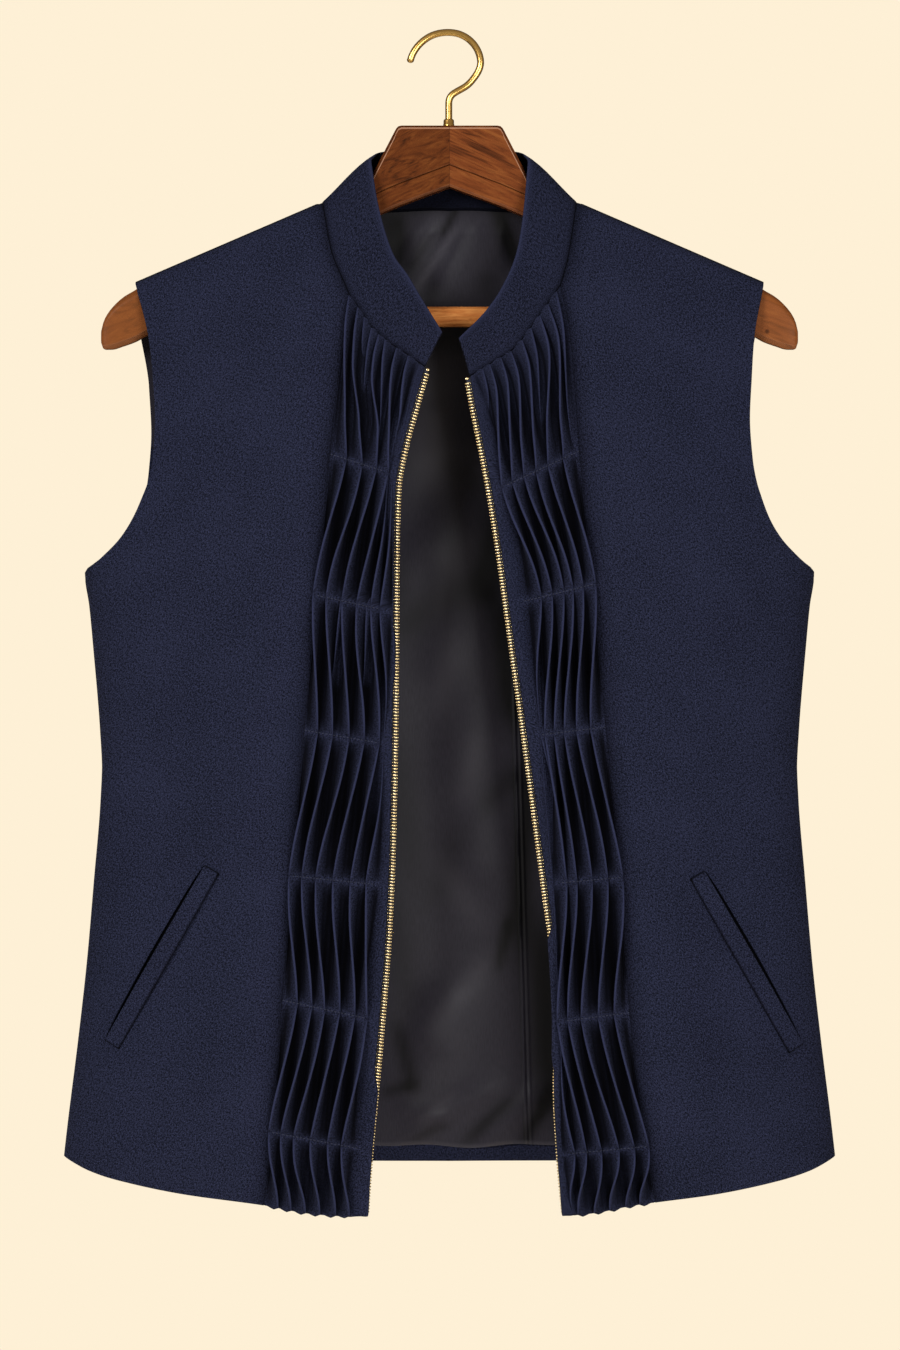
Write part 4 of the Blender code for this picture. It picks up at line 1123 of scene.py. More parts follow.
for side in SIDES:
    place = stations()
    # edge is the painted highlight and deep the painted shade of each point.
    beside, lift, edge, deep, roots = tuck_section(side, place)
    x, along = panel_lay(side, place[:, None], beside)
    inner_beside = under_tucks(side, place, beside.shape[1], roots)
    inner_x, inner_along = panel_lay(side, place[:, None], inner_beside)
    outer = on_cloth(x, along, FRONT, lift)
    tucks = cloth_shell(
        f"front_tucks_{side}_wool",
        outer,
        on_cloth(inner_x, inner_along, FRONT, -TUCK_WALL),
        np.stack([length_along(outer, 1), along], -1),
        [WOOL],
        {"fold_edge": edge, "fold_depth": deep},
    )
    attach(tucks, "root")
    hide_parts(f"front_tucks_{side}")


# Row stitching
# Polyester thread, a shade lighter than the wool, in machine stitches over the tucks at
# each row. Real thread is 0.3 mm thick; it is drawn at 0.5 mm so that it shows.

STITCH_PITCH, STITCH_LENGTH, THREAD_THICK, THREAD_LIFT = 2.3, 1.7, 0.5, 0.12
# The rows start just past the tuck seam and stop short of the zip.
ROW_START, ROW_STOP = 0.8, 10
THREAD_NAVY = "#232842"


def thread_finish():
    """Spun polyester thread: a faint gleam, a shade lighter than the wool."""
    thread, tree, shader = new_finish("navy_polyester_thread")
    place = node(tree, "ShaderNodeTexCoord")
    ply = {"Vector": place.outputs["Object"], "Scale": 1400, "Detail": 1}
    tones = node(tree, "ShaderNodeTexNoise", ply)
    span = {0: tones.outputs[0], 6: shade(NAVY), 7: shade(THREAD_NAVY)}
    body = node(tree, "ShaderNodeMix", span, data_type="RGBA")
    fill(tree, shader, {"Base Color": body.outputs[2], "Roughness": 0.6})
    return thread


THREAD_FINISH = thread_finish()


def path_mesh(name, paths, facings):
    """Edges along paths, with the direction that each point faces."""
    mesh = bpy.data.meshes.new(name)
    points, edges = np.concatenate(paths), []
    start = 0
    for path in paths:
        edges += [(start + i, start + i + 1) for i in range(len(path) - 1)]
        start += len(path)
    mesh.from_pydata((points * MM).tolist(), edges, [])
    facing = mesh.attributes.new("facing", "FLOAT_VECTOR", "POINT")
    facing.data.foreach_set("vector", np.concatenate(facings).astype(np.float32).ravel())
    return link_in(name, mesh)


def repeat_tree(name, add_form):
    """A tree that repeats a small form along paths; `add_form` adds the form to it."""
    tree = bpy.data.node_groups.new(name, "GeometryNodeTree")
    sockets = tree.interface
    sockets.new_socket("Paths", in_out="INPUT", socket_type="NodeSocketGeometry")
    for size in ("Pitch", "Length", "Width", "Height"):
        sockets.new_socket(size, in_out="INPUT", socket_type="NodeSocketFloat")
    sockets.new_socket("Finish", in_out="INPUT", socket_type="NodeSocketMaterial")
    sockets.new_socket("Pieces", in_out="OUTPUT", socket_type="NodeSocketGeometry")
    given = node(tree, "NodeGroupInput")
    curves = node(tree, "GeometryNodeMeshToCurve", {"Mesh": given.outputs["Paths"]})
    spaced = {"Curve": curves.outputs[0], "Length": given.outputs["Pitch"]}
    points = node(tree, "GeometryNodeCurveToPoints", spaced, mode="LENGTH")
    facing = node(tree, "GeometryNodeInputNamedAttribute", {"Name": "facing"})
    facing.data_type = "FLOAT_VECTOR"
    axes = {"Primary Axis": facing.outputs[0], "Secondary Axis": points.outputs["Tangent"]}
    turn = node(tree, "FunctionNodeAxesToRotation", axes)
    turn.primary_axis, turn.secondary_axis = "Z", "X"
    form = add_form(tree, given)
    placed = {"Points": points.outputs[0], "Instance": form, "Rotation": turn.outputs[0]}
    copies = node(tree, "GeometryNodeInstanceOnPoints", placed)
    real = node(tree, "GeometryNodeRealizeInstances", {"Geometry": copies.outputs[0]})
    finish = {"Geometry": real.outputs[0], "Material": given.outputs["Finish"]}
    finished = node(tree, "GeometryNodeSetMaterial", finish)
    node(tree, "NodeGroupOutput", {"Pieces": finished.outputs[0]})
    return tree


def stitch(tree, given):
    """A short length of thread that dips into the cloth at both ends."""
    bead = {"Segments": 6, "Rings": 4, "Radius": 0.5}
    ball = node(tree, "GeometryNodeMeshUVSphere", bead)
    size = {name: given.outputs[name] for name in ("Length", "Width", "Height")}
    scale = node(tree, "ShaderNodeCombineXYZ", dict(zip((0, 1, 2), size.values())))
    drawn = {"Geometry": ball.outputs[0], "Scale": scale.outputs[0]}
    return node(tree, "GeometryNodeTransform", drawn).outputs[0]


STITCH_TREE = repeat_tree("stitches", stitch)


def repeat_along(name, tree, paths, facings, sizes, finish):
    """Runs a tree along paths and returns the pieces as one plain mesh object."""
    thing = path_mesh(name, paths, facings)
    maker = thing.modifiers.new("repeat", "NODES")
    maker.node_group = tree
    inputs = {item.name: item.identifier for item in tree.interface.items_tree}
    for label, value in zip(("Pitch", "Length", "Width", "Height"), sizes):
        maker[inputs[label]] = value * MM
    maker[inputs["Finish"]] = finish
    seen = thing.evaluated_get(bpy.context.evaluated_depsgraph_get())
    made = bpy.data.meshes.new_from_object(seen)
    thing.modifiers.clear()
    thing.data = made
    made.shade_smooth()
    return thing


def over_tucks(side, place, wanted):
    """A path that runs over the tucks at these places and distances, and how it faces."""
    beside, lift, *_ = tuck_section(side, place)
    start, end, at = beside[:, :-1], beside[:, 1:], wanted[:, None]
    run = end - start
    share = (at - start) / np.where(np.abs(run) > 1e-6, run, 1)
    crossed = (np.minimum(start, end) <= at) & (at <= np.maximum(start, end))
    heights = np.where(crossed, mix(lift[:, :-1], lift[:, 1:], share), np.nan)
    high = np.nanmax(heights, axis=1, initial=0)
    x, along = panel_lay(side, place, wanted)
    return on_cloth(x, along, FRONT, high + THREAD_LIFT), outward(x, along, FRONT)


for side in SIDES:
    lines = []
    for row in range(1, LAST_ROW):
        width = float(panel_width(side, np.array([float(row)]))[0])
        wanted = steps(ROW_START, width - ROW_STOP, 0.7)
        lines.append(over_tucks(side, np.full(len(wanted), float(row)), wanted))
    sizes = (STITCH_PITCH, STITCH_LENGTH, THREAD_THICK, THREAD_THICK)
    name = f"row_stitches_{side}"
    rows = repeat_along(name, STITCH_TREE, *zip(*lines), sizes, THREAD_FINISH)
    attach(rows, "root")


# Zip
# A fine metal zip: brass teeth at a 2 mm pitch, clamped on the corded edge of a navy woven
# tape. The tape is sewn behind the front's folded edge, so only the teeth and cord show.

TAPE_REACH, TAPE_THICK, CORD_RADIUS, TAPE_RIB_PITCH = 11, 0.6, 0.75, 0.9
TOOTH_PITCH, TOOTH_LONG, TOOTH_WIDE, TOOTH_HIGH = 2.0, 1.2, 4.2, 1.9
# The tape starts and ends just inside the panel's edges; its first stations carry the stop.
TAPE_FIRST, TAPE_LAST, TAPE_STATIONS, TEETH_START = 0.01, LAST_ROW - 0.06, 330, 2
STOP_LENGTH, STOP_WIDTH, STOP_THICK = 1.8, 2.6, 2.2
TAPE_NAVY, TAPE_RIB = "#10121c", "#1d2030"
BRASS_GOLD, BRASS_WORN = "#dcb66c", "#b08440"
TOOTH_PALE, TOOTH_WORN = "#f8e8c0", "#dcbb7a"


def tape_finish():
    """Woven polyester tape: dull, with fine ribs 0.9 mm apart along its length."""
    tape, tree, shader = new_finish("navy_woven_zip_tape")
    lay = node(tree, "ShaderNodeUVMap", uv_map="weave")
    ribs = {"Vector": lay.outputs[0], "Scale": 1000 / TAPE_RIB_PITCH / 20, "Distortion": 0.4}
    wave = node(tree, "ShaderNodeTexWave", ribs)
    span = {0: wave.outputs["Fac"], 6: shade(TAPE_NAVY), 7: shade(TAPE_RIB)}
    body = node(tree, "ShaderNodeMix", span, data_type="RGBA")
    raised = {"Height": wave.outputs["Fac"], "Strength": 0.3, "Distance": 0.0002}
    bump = node(tree, "ShaderNodeBump", raised)
    look = {"Base Color": body.outputs[2], "Normal": bump.outputs[0], "Roughness": 0.8}
    fill(tree, shader, look)
    return tape


def brass_finish(name, gold, wear_and_highlight, patches):
    """Lacquered brass: warm gold, brightest where it is rubbed, with small dull patches."""
    brass, tree, shader = new_finish(name)
    place = node(tree, "ShaderNodeTexCoord")
    patch = {"Vector": place.outputs["Object"], "Scale": patches, "Detail": 2}
    cloud = node(tree, "ShaderNodeTexNoise", patch)
    span = {0: cloud.outputs[0], 6: shade(wear_and_highlight), 7: shade(gold)}
    body = node(tree, "ShaderNodeMix", span, data_type="RGBA")
    rub = {"Value": cloud.outputs[0], "To Min": 0.2, "To Max": 0.28}
    rough = node(tree, "ShaderNodeMapRange", rub)
    look = {"Base Color": body.outputs[2], "Roughness": rough.outputs[0], "Metallic": 1.0}
    fill(tree, shader, look)
    return brass


TAPE = tape_finish()
BRASS = brass_finish("lacquered_brass", BRASS_GOLD, BRASS_WORN, 40)
TOOTH_BRASS = brass_finish("tumbled_pale_brass", TOOTH_PALE, TOOTH_WORN, 260)


def tooth(tree, given):
    """A bar across the tape's edge with a bead at each end, longest along the path's X."""
    size = [given.outputs[name] for name in ("Length", "Width", "Height")]
    bar_size = node(tree, "ShaderNodeCombineXYZ", dict(zip((0, 1, 2), size)))
    bar = node(tree, "GeometryNodeMeshCube", {"Size": bar_size.outputs[0]})
    half = node(tree, "ShaderNodeMath", {0: size[1], 1: 0.5}, operation="MULTIPLY")
    away = node(tree, "ShaderNodeMath", {0: half.outputs[0], 1: -1.0}, operation="MULTIPLY")
    ball = node(tree, "GeometryNodeMeshUVSphere", {"Segments": 8, "Rings": 5, "Radius": 0.5})
    high = node(tree, "ShaderNodeMath", {0: size[2], 1: 1.05}, operation="MULTIPLY")
    long = node(tree, "ShaderNodeMath", {0: size[0], 1: 1.06}, operation="MULTIPLY")
    round_size = {0: long.outputs[0], 1: long.outputs[0], 2: high.outputs[0]}
    scale = node(tree, "ShaderNodeCombineXYZ", round_size)
    forms = node(tree, "GeometryNodeJoinGeometry")
    tree.links.new(bar.outputs[0], forms.inputs[0])
    for end in (half, away):
        spot = node(tree, "ShaderNodeCombineXYZ", {1: end.outputs[0]})
        held = {0: ball.outputs[0], "Translation": spot.outputs[0], "Scale": scale.outputs[0]}
        bead = node(tree, "GeometryNodeTransform", held)
        tree.links.new(bead.outputs[0], forms.inputs[0])
    return forms.outputs[0]


TOOTH_TREE = repeat_tree("zip_teeth", tooth)


def zip_frame(side, place):
    """Edge of the cloth, its outward direction, and the direction into the opening."""
    x, along = panel_lay(side, place, panel_width(side, place))
    edge, out = cloth(x, along, FRONT), outward(x, along, FRONT)
    down = unit(np.gradient(edge, axis=0))
    opening = unit(np.cross(down, out))
    turned = np.where(opening[:, :1] * SIDES[side] > 0, -1.0, 1.0)
    return edge, out, opening * turned


for side in SIDES:
    place = np.linspace(TAPE_FIRST, TAPE_LAST, TAPE_STATIONS)
    edge, out, opening = zip_frame(side, place)
    inset = read(CHAIN_SHOWS, side, place)[:, None]
    x, along = panel_lay(side, place, panel_width(side, place) - TAPE_REACH)
    top = -TUCK_WALL - GAP
    behind = on_cloth(x, along, FRONT, top)
    chain = edge + opening * inset + out * (top - TAPE_THICK / 2)
    flat_edge = edge + opening * (inset - CORD_RADIUS) + out * top
    upper, lower = [], []
    for share in np.linspace(0, 1, 7):
        level = mix(behind, flat_edge, share)
        upper.append(level)
        lower.append(level - out * TAPE_THICK)
    for angle in np.radians((150, 110, 70, 35, 8)):
        across = opening * cos(angle) * CORD_RADIUS
        upper.append(chain + across + out * sin(angle) * CORD_RADIUS)
        lower.append(chain + across - out * sin(angle) * CORD_RADIUS)
    grids = [np.stack(rows, axis=1) for rows in (upper, lower)]
    run = length_along(grids[0], 1)
    down = length_along(edge, 0)
    lay = np.stack([run, np.broadcast_to(down[:, None], run.shape)], -1)
    tape = cloth_shell(f"zip_tape_{side}_woven", *grids, lay, [TAPE])
    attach(tape, "root")
    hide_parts(f"zip_tape_{side}")

    sizes = (TOOTH_PITCH, TOOTH_LONG, TOOTH_WIDE - TOOTH_LONG, TOOTH_HIGH)
    line = [chain[TEETH_START:]], [out[TEETH_START:]]
    teeth = repeat_along(f"zip_teeth_{side}", TOOTH_TREE, *line, sizes, TOOTH_BRASS)
    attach(teeth, "root")

    # The top stop is a rounded block of the same brass, crimped on above the teeth.
    bead = bmesh.new()
    centre, up = chain[0], unit(chain[0] - chain[4])
    made = bmesh.ops.create_uvsphere(bead, u_segments=20, v_segments=14, radius=1)["verts"]
    for vert in made:
        spread = [abs(c) ** 0.7 * (1 if c > 0 else -1) for c in vert.co]
        wide = opening[0] * spread[0] * STOP_WIDTH / 2
        thick = out[0] * spread[1] * STOP_THICK / 2
        vert.co = Vector(centre + wide + thick + up * spread[2] * STOP_LENGTH / 2) * MM
    bmesh.ops.recalc_face_normals(bead, faces=bead.faces)
    stop = link_in(f"zip_stop_{side}_bead", as_mesh("zip_stop", bead))
    stop.data.shade_smooth()
    stop.data.materials.append(TOOTH_BRASS)
    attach(stop, "root")
    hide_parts(f"zip_stop_{side}")


# Stand collar
# A fused band of the same wool, sewn on round the neck and open in front. Its top edge is
# a turned fold, and the seam below is pressed flat; painted shade draws it as a crisp line.

# The band bulges a little between seam and fold; over the shoulders it is hollow at its foot
# and rounder near its fold. The levels are shares of its height.
COLLAR_WALL, COLLAR_HEIGHT, COLLAR_BULGE, SIDE_ROLL = 2.0, 40, 1.0, 1.2
COLLAR_LEVELS = (0, 0.02, 0.08, 0.16, 0.3, 0.45, 0.6, 0.75, 0.88, 0.96, 0.985, 1)
# The collar's top edge, read at the drop of the seam below it in front and at the
# seam's distance from the centre plane behind. Depth is towards the back.
COLLAR_FRONT = {
    "left": table(
        "seam out drop depth",
        (108.6, 50.9, 78.4, -4),
        (114, 51.2, 81, -9.5),
        (120, 50.4, 86.5, -12.5),
        (142.6, 46.5, 110, -18.5),
        (171.5, 36.5, 143.5, -28),
        (191.7, 26.5, 158.5, -34),
        (199.2, 20.5, 169, -36.5),
        (217, 4.9, 194.7, -41),
    ),
    "right": table(
        "seam out drop depth",
        (108.6, 50.9, 78.4, -4),
        (114, 51.2, 81.4, -9.5),
        (120, 50.6, 88, -12.5),
        (146, 47.5, 119, -19.5),
        (164, 43.5, 142, -26.5),
        (188.9, 33, 167, -34),
        (204.7, 23, 181.5, -38),
        (223, 6.2, 198.6, -41.5),
    ),
}
COLLAR_BACK = table(
    "seam out drop depth",
    (0, 0, 71.5, 14.5),
    (30, 20, 71.8, 14.3),
    (50, 33, 72.5, 13.5),
    (62, 40, 73.5, 12.3),
    (70, 45.2, 74.3, 10.5),
    (76, 47.9, 75.2, 8),
    (82.5, 50, 77.4, 2),
)
# Distances from the centre plane behind, close together where the band turns the corner.
COLLAR_TURN = (82.5, 81.6, 80.5, 79, 77.5, 76, 74, 72, 70, 66, 62, 56)


def half_seam(side):
    """Half the neck seam, the collar's top edge above it and the way the cloth there faces.

    They run from the zip over the shoulder's bend to the middle of the back.
    """
    sign = SIDES[side]
    q = np.linspace(1, 0.04, 34)
    start = np.zeros(len(q))
    x, along = panel_lay(side, start, q * panel_width(side, start))
    along = along - GAP
    corner = float(TUCK_SEAM[side]["drop"][0])
    drops = steps(corner - 0.5, float(drop_of(NECK_OUT, BEND_LENGTH)), 1.5)
    outs = read(NECK_EDGE[side], "out", drops)
    bends = np.array([10.5, 9, 8, 7])
    bend_drops = drop_of(NECK_OUT, bends)
    bend_outs = read(NECK_EDGE[side], "out", bend_drops)
    x = np.concatenate([x, sign * outs, sign * bend_outs])
    along = np.concatenate([along, along_of(outs, drops), bends])
    key = drop_of(np.abs(x), along)
    key[-4:] = bend_drops
    front = {name: read(COLLAR_FRONT[side], name, key) for name in ("out", "drop", "depth")}
    behind = np.concatenate([COLLAR_TURN, np.arange(50, -1, -10)])
    back = {name: read(COLLAR_BACK, name, behind) for name in ("out", "drop", "depth")}
    back_along = read(BACK_NECK, "along", behind)
    seam = np.concatenate([cloth(x, along, FRONT), cloth(sign * behind, back_along, BACK)])
    out = np.concatenate([outward(x, along, FRONT), outward(sign * behind, back_along, BACK)])
    both = {name: np.concatenate([front[name], back[name]]) for name in front}
    top = np.stack([sign * both["out"], both["depth"], -both["drop"]], axis=-1)
    return seam, top, out


halves = half_seam("left"), half_seam("right")
seam, top, out = (np.concatenate([one, two[-2::-1]]) for one, two in zip(*halves))
seam = seam + unit(top - seam) * GAP
middle_line = (seam + top) / 2
around = unit(np.gradient(middle_line, axis=0))
face_out = unit(np.cross(around, top - seam))
face_out *= np.where((face_out * out).sum(1, keepdims=True) < 0, -1, 1)
at_side = np.exp(-(((np.abs(seam[:, :1]) - NECK_OUT) / 7) ** 2))
outer, inner = [], []
for v in COLLAR_LEVELS:
    bulge = COLLAR_BULGE * (1 + SIDE_ROLL * at_side * (2 * v - 1))
    level = mix(seam, top, v) + face_out * bulge * 4 * v * (1 - v)
    inset = 0.35 * (v == 1) + 0.1 * (v == 0.985)
    off = unit(mix(out, face_out, min(1, v * 2.5)))
    outer.append(level - off * inset)
    inner.append(level - off * (COLLAR_WALL - inset))
grids = [np.stack(rows, axis=0) for rows in (outer, inner)]
length = length_along(middle_line, 0)
height = np.linspace(0, COLLAR_HEIGHT, len(COLLAR_LEVELS))
lay = np.stack(np.meshgrid(length, height), -1)
# Painted shade along the pressed seam and, lighter, over the whole band; a painted
# highlight along the turned fold; painted shade on the inner side behind the neck.
seam_shade = 0 * length + np.array([0.95, 0.6, 0.24] + [0.17] * 9)[:, None]
fold_light = 0 * length + np.array([0] * 9 + [0.2, 0.55, 0.55])[:, None]
in_shade = 0.8 * np.clip((grids[1][:, :, 1] + 10) / 16, 0, 1)
marks = {"fold_depth": (seam_shade, in_shade), "fold_edge": fold_light}
collar = cloth_shell("stand_collar", *grids, lay, [WOOL], marks)
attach(collar, "root")
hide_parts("collar")


# Pocket welts
# A folded strip of the wool, 10.6 mm wide, sewn over the front's outer skin along a slanted
# slit. Its outer edge is the pocket's mouth and gapes a little; bar tacks hold both ends.

WELT_LENGTH, WELT_WALL, WELT_LIFT = 130, 1.2, 1.4

for side, sign in SIDES.items():
    ends = np.array([0, 0.004, 0.008, 0.013])
    shares = np.concatenate([ends, np.linspace(0.03, 0.97, 54), 1 - ends[::-1]])
    asides = np.concatenate([[0, 0.05, 0.1, 0.15], np.linspace(0.22, 0.85, 7), [0.92, 0.96, 1]])
    share, aside = np.meshgrid(shares, asides, indexing="ij")
    out, drop = welt_point(side, share, (aside - 0.5) * WELT_WIDTH)
    lift = GAP + WELT_LIFT * np.sin(pi * share) * aside**2
    lift += 0.12 * np.sin(share * 9 + aside * 2) * np.sin(pi * aside)
    x, along = sign * out, along_of(out, drop)
    from_end = np.minimum(share, 1 - share)
    # Painted shade outlines the welt along its sewn edge and at both ends.
    outline_shade = np.interp(aside, (0, 0.05, 0.12), (0.85, 0.6, 0))
    outline_shade += np.interp(from_end, (0, 0.004, 0.009), (0.9, 0.6, 0))
    ease = 0.5 * (np.clip(1 - aside * 11, 0, 1) + np.clip(1 - (1 - aside) * 11, 0, 1))
    strip = cloth_shell(
        f"pocket_welt_{side}_wool",
        on_cloth(x, along, FRONT, lift + WELT_WALL - ease * 0.5),
        on_cloth(x, along, FRONT, lift),
        np.stack([aside * WELT_WIDTH, share * WELT_LENGTH], -1),
        [WOOL],
        {"fold_depth": np.clip(outline_shade, 0, 1)},
    )
    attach(strip, "root")
    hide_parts(f"pocket_welt_{side}")

    # The pocket's bag shows only as the dark behind its mouth; it is painted wholly in shade.
    shares, offsets = np.linspace(-0.04, 1.04, 40), np.linspace(-4, 14, 9)
    share, offset = np.meshgrid(shares, offsets, indexing="ij")
    out, drop = welt_point(side, share, WELT_WIDTH / 2 + offset)
    x, along = sign * out, along_of(out, drop)
    bag = cloth_shell(
        f"pocket_bag_{side}",
        on_cloth(x, along, FRONT, -BODY_WALL - 0.6),
        on_cloth(x, along, FRONT, -BODY_WALL - 1.1),
        np.stack([offset, share * WELT_LENGTH], -1),
        [WOOL],
        {"fold_depth": np.ones(share.shape)},
    )
    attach(bag, "root")


# Hanger arms
# Two halves sawn from walnut board, planed, mitred in the middle and glued. A wide yoke
# carries the hook, the top edges are rounded over and a fine V groove marks the yoke's foot.

WALNUT_DARK, WALNUT_ARM_LIGHT, WALNUT_HIGHLIGHT = "#221006", "#865029", "#b3876c"
# The right arm's browns are lighter: painted light, making up for the key lamp on the left, which
# leaves that arm darker.
WALNUT_RED = {"left": "#54290f", "right": "#673417"}
WALNUT_PALE = {"left": "#673817", "right": "#7a4520"}
# Length and breadth of the figure, in metres, and how far it swirls.
FIGURE = {"left": (0.024, 0.007, 2.6), "right": (0.04, 0.006, 1.8), "bar": (0.036, 0.006, 2.6)}
# Pin knots for each metre of wood.
KNOTS = 62
# The arms' grain runs down along them.
ARM_SLOPE = radians(23.5)
# Half of the hanger: top and bottom edges, half thickness, and the depth and width of the
# top edge's rounding, which is a flat chamfer where `flat` is 1.
ARM = table(
    "out top bottom half deep wide flat",
    (0, 58.6, 98.2, 7, 1.7, 2.2, 1),
    (31, 58.6, 109.8, 7, 1.7, 2.2, 1),
    (33, 59.0, 110.6, 7, 2.2, 2.2, 1),
    (34.4, 60.4, 111.2, 7, 3.2, 2.2, 1),
    (35.4, 62.2, 111.6, 7, 4.2, 2.2, 1),
    (48.8, 88.2, 117.4, 7, 4.4, 2.4, 1),
    (53, 98, 119.5, 7, 5, 5, 0),
    (70, 109.5, 128.3, 7, 6.7, 6.7, 0),
    (82.6, 114.2, 134.9, 7, 6.7, 6.7, 0),
    (95, 115.4, 141.3, 7, 6.7, 6.7, 0),
    (142, 135.3, 165.9, 7, 6.7, 6.7, 0),
    (180, 151.7, 185.7, 7, 6.7, 6.7, 0),
    (197, 160, 194.5, 7, 6.7, 6.7, 0),
    (203.3, 164.5, 198, 7, 6.5, 6.5, 0),
    (211, 169.2, 200.8, 6.9, 6, 6, 0),
    (219, 177, 203, 6.6, 5, 5, 0),
    (223.6, 184.5, 203, 6, 4.5, 4.5, 0),
    (225.3, 191, 199, 4.6, 3, 3, 0),
)
# Where the yoke's straight cuts end; its groove's height, depth and end.
YOKE_END, GROOVE_HEIGHT, GROOVE_DEPTH, GROOVE_END = 54, 14, 0.7, 58
# How dark the glued mitre is, and how bright the painted highlight on the yoke's top arris, from
# its side to its top.
MITRE_DARK, ARRIS_HIGHLIGHT = 0.45, (0.95, 0.4, 0, 0, 0, 0, 0, 0)


def walnut_finish(name, tones, turn, figure):
    """Oiled walnut: long grain in red and dark browns, with fine pores and a soft shine.

    `tones` are the grain's dark, middle and pale browns, and a lighter brown painted towards the
    ends as painted light on the arms.
    """
    walnut, tree, shader = new_finish(name)
    place = node(tree, "ShaderNodeTexCoord")
    length, breadth, swirl = figure
    scale = length, breadth, breadth * 0.9
    turned = {"Vector": place.outputs["Object"], "Rotation": turn, "Scale": scale}
    lengthwise = node(tree, "ShaderNodeMapping", turned, vector_type="TEXTURE")
    bands = {"Vector": lengthwise.outputs[0], "Scale": 1, "Detail": 6, "Distortion": swirl}
    grain = node(tree, "ShaderNodeTexNoise", bands)
    fine = {"Vector": lengthwise.outputs[0], "Scale": 5, "Detail": 3, "Roughness": 0.7}
    pores = node(tree, "ShaderNodeTexNoise", fine)
    browns = node(tree, "ShaderNodeValToRGB", {0: grain.outputs[0]})
    stops = browns.color_ramp.elements
    stops[0].position, stops[0].color = 0.24, shade(tones[0])
    stops[1].position, stops[1].color = 0.7, shade(tones[2])
    stops.new(0.46).color = shade(tones[1])
    pore = {"Value": pores.outputs[0], "From Min": 0.52, "From Max": 0.72, "To Max": 0.42}
    open_pore = node(tree, "ShaderNodeMapRange", pore)
    # Painted light: the brown grows lighter away from the middle, standing for the light that
    # falls more on the arms.
    across = node(tree, "ShaderNodeSeparateXYZ", {0: place.outputs["Object"]})
    out = node(tree, "ShaderNodeMath", {0: across.outputs[0]}, operation="ABSOLUTE")
    towards = {"Value": out.outputs[0], "From Min": 0.05, "From Max": 0.16, "To Max": 0.45}
    arm_light_paint = node(tree, "ShaderNodeMapRange", towards)
    spots = {"Vector": place.outputs["Object"], "Scale": KNOTS, "Randomness": 1}
    knots = node(tree, "ShaderNodeTexVoronoi", spots)
    small = {"Value": knots.outputs[0], "From Min": 0.12, "From Max": 0.05, "To Max": 0.7}
    knot = node(tree, "ShaderNodeMapRange", small)
    # A painted highlight on the arris, and painted shade in the groove beside the dark glued
    # mitre.
    wear_and_highlight = node(tree, "ShaderNodeAttribute", attribute_name="arris")
    cut = node(tree, "ShaderNodeAttribute", attribute_name="groove")
    colour = browns.outputs[0]
    for where, hue in (
        (open_pore.outputs[0], tones[0]),
        (arm_light_paint.outputs[0], tones[3]),
        (knot.outputs[0], tones[0]),
        (wear_and_highlight.outputs["Fac"], WALNUT_HIGHLIGHT),
        (cut.outputs["Fac"], tones[0]),
    ):
        layer = {0: where, 6: colour, 7: shade(hue)}
        colour = node(tree, "ShaderNodeMix", layer, data_type="RGBA").outputs[2]
    raised = {"Height": pores.outputs[0], "Strength": 0.12, "Distance": 0.0003}
    bump = node(tree, "ShaderNodeBump", raised)
    look = {"Base Color": colour, "Normal": bump.outputs[0], "Roughness": 0.38}
    fill(tree, shader, look | {"Specular IOR Level": 0.05})
    return walnut


def straight(rows, name, at):
    """Reads a table on straight lines between its rows, as the yoke is sawn."""
    return float(np.interp(at, rows[rows["key"]], rows[name]))


def hard_piece(name, form, finish, sharp):
    """A piece of wood or metal, smooth but for edges sharper than `sharp` degrees."""
    mesh = as_mesh(name, form)
    mesh.shade_smooth()
    mesh.set_sharp_from_angle(angle=radians(sharp))
    mesh.materials.append(finish)
    return link_in(name, mesh)


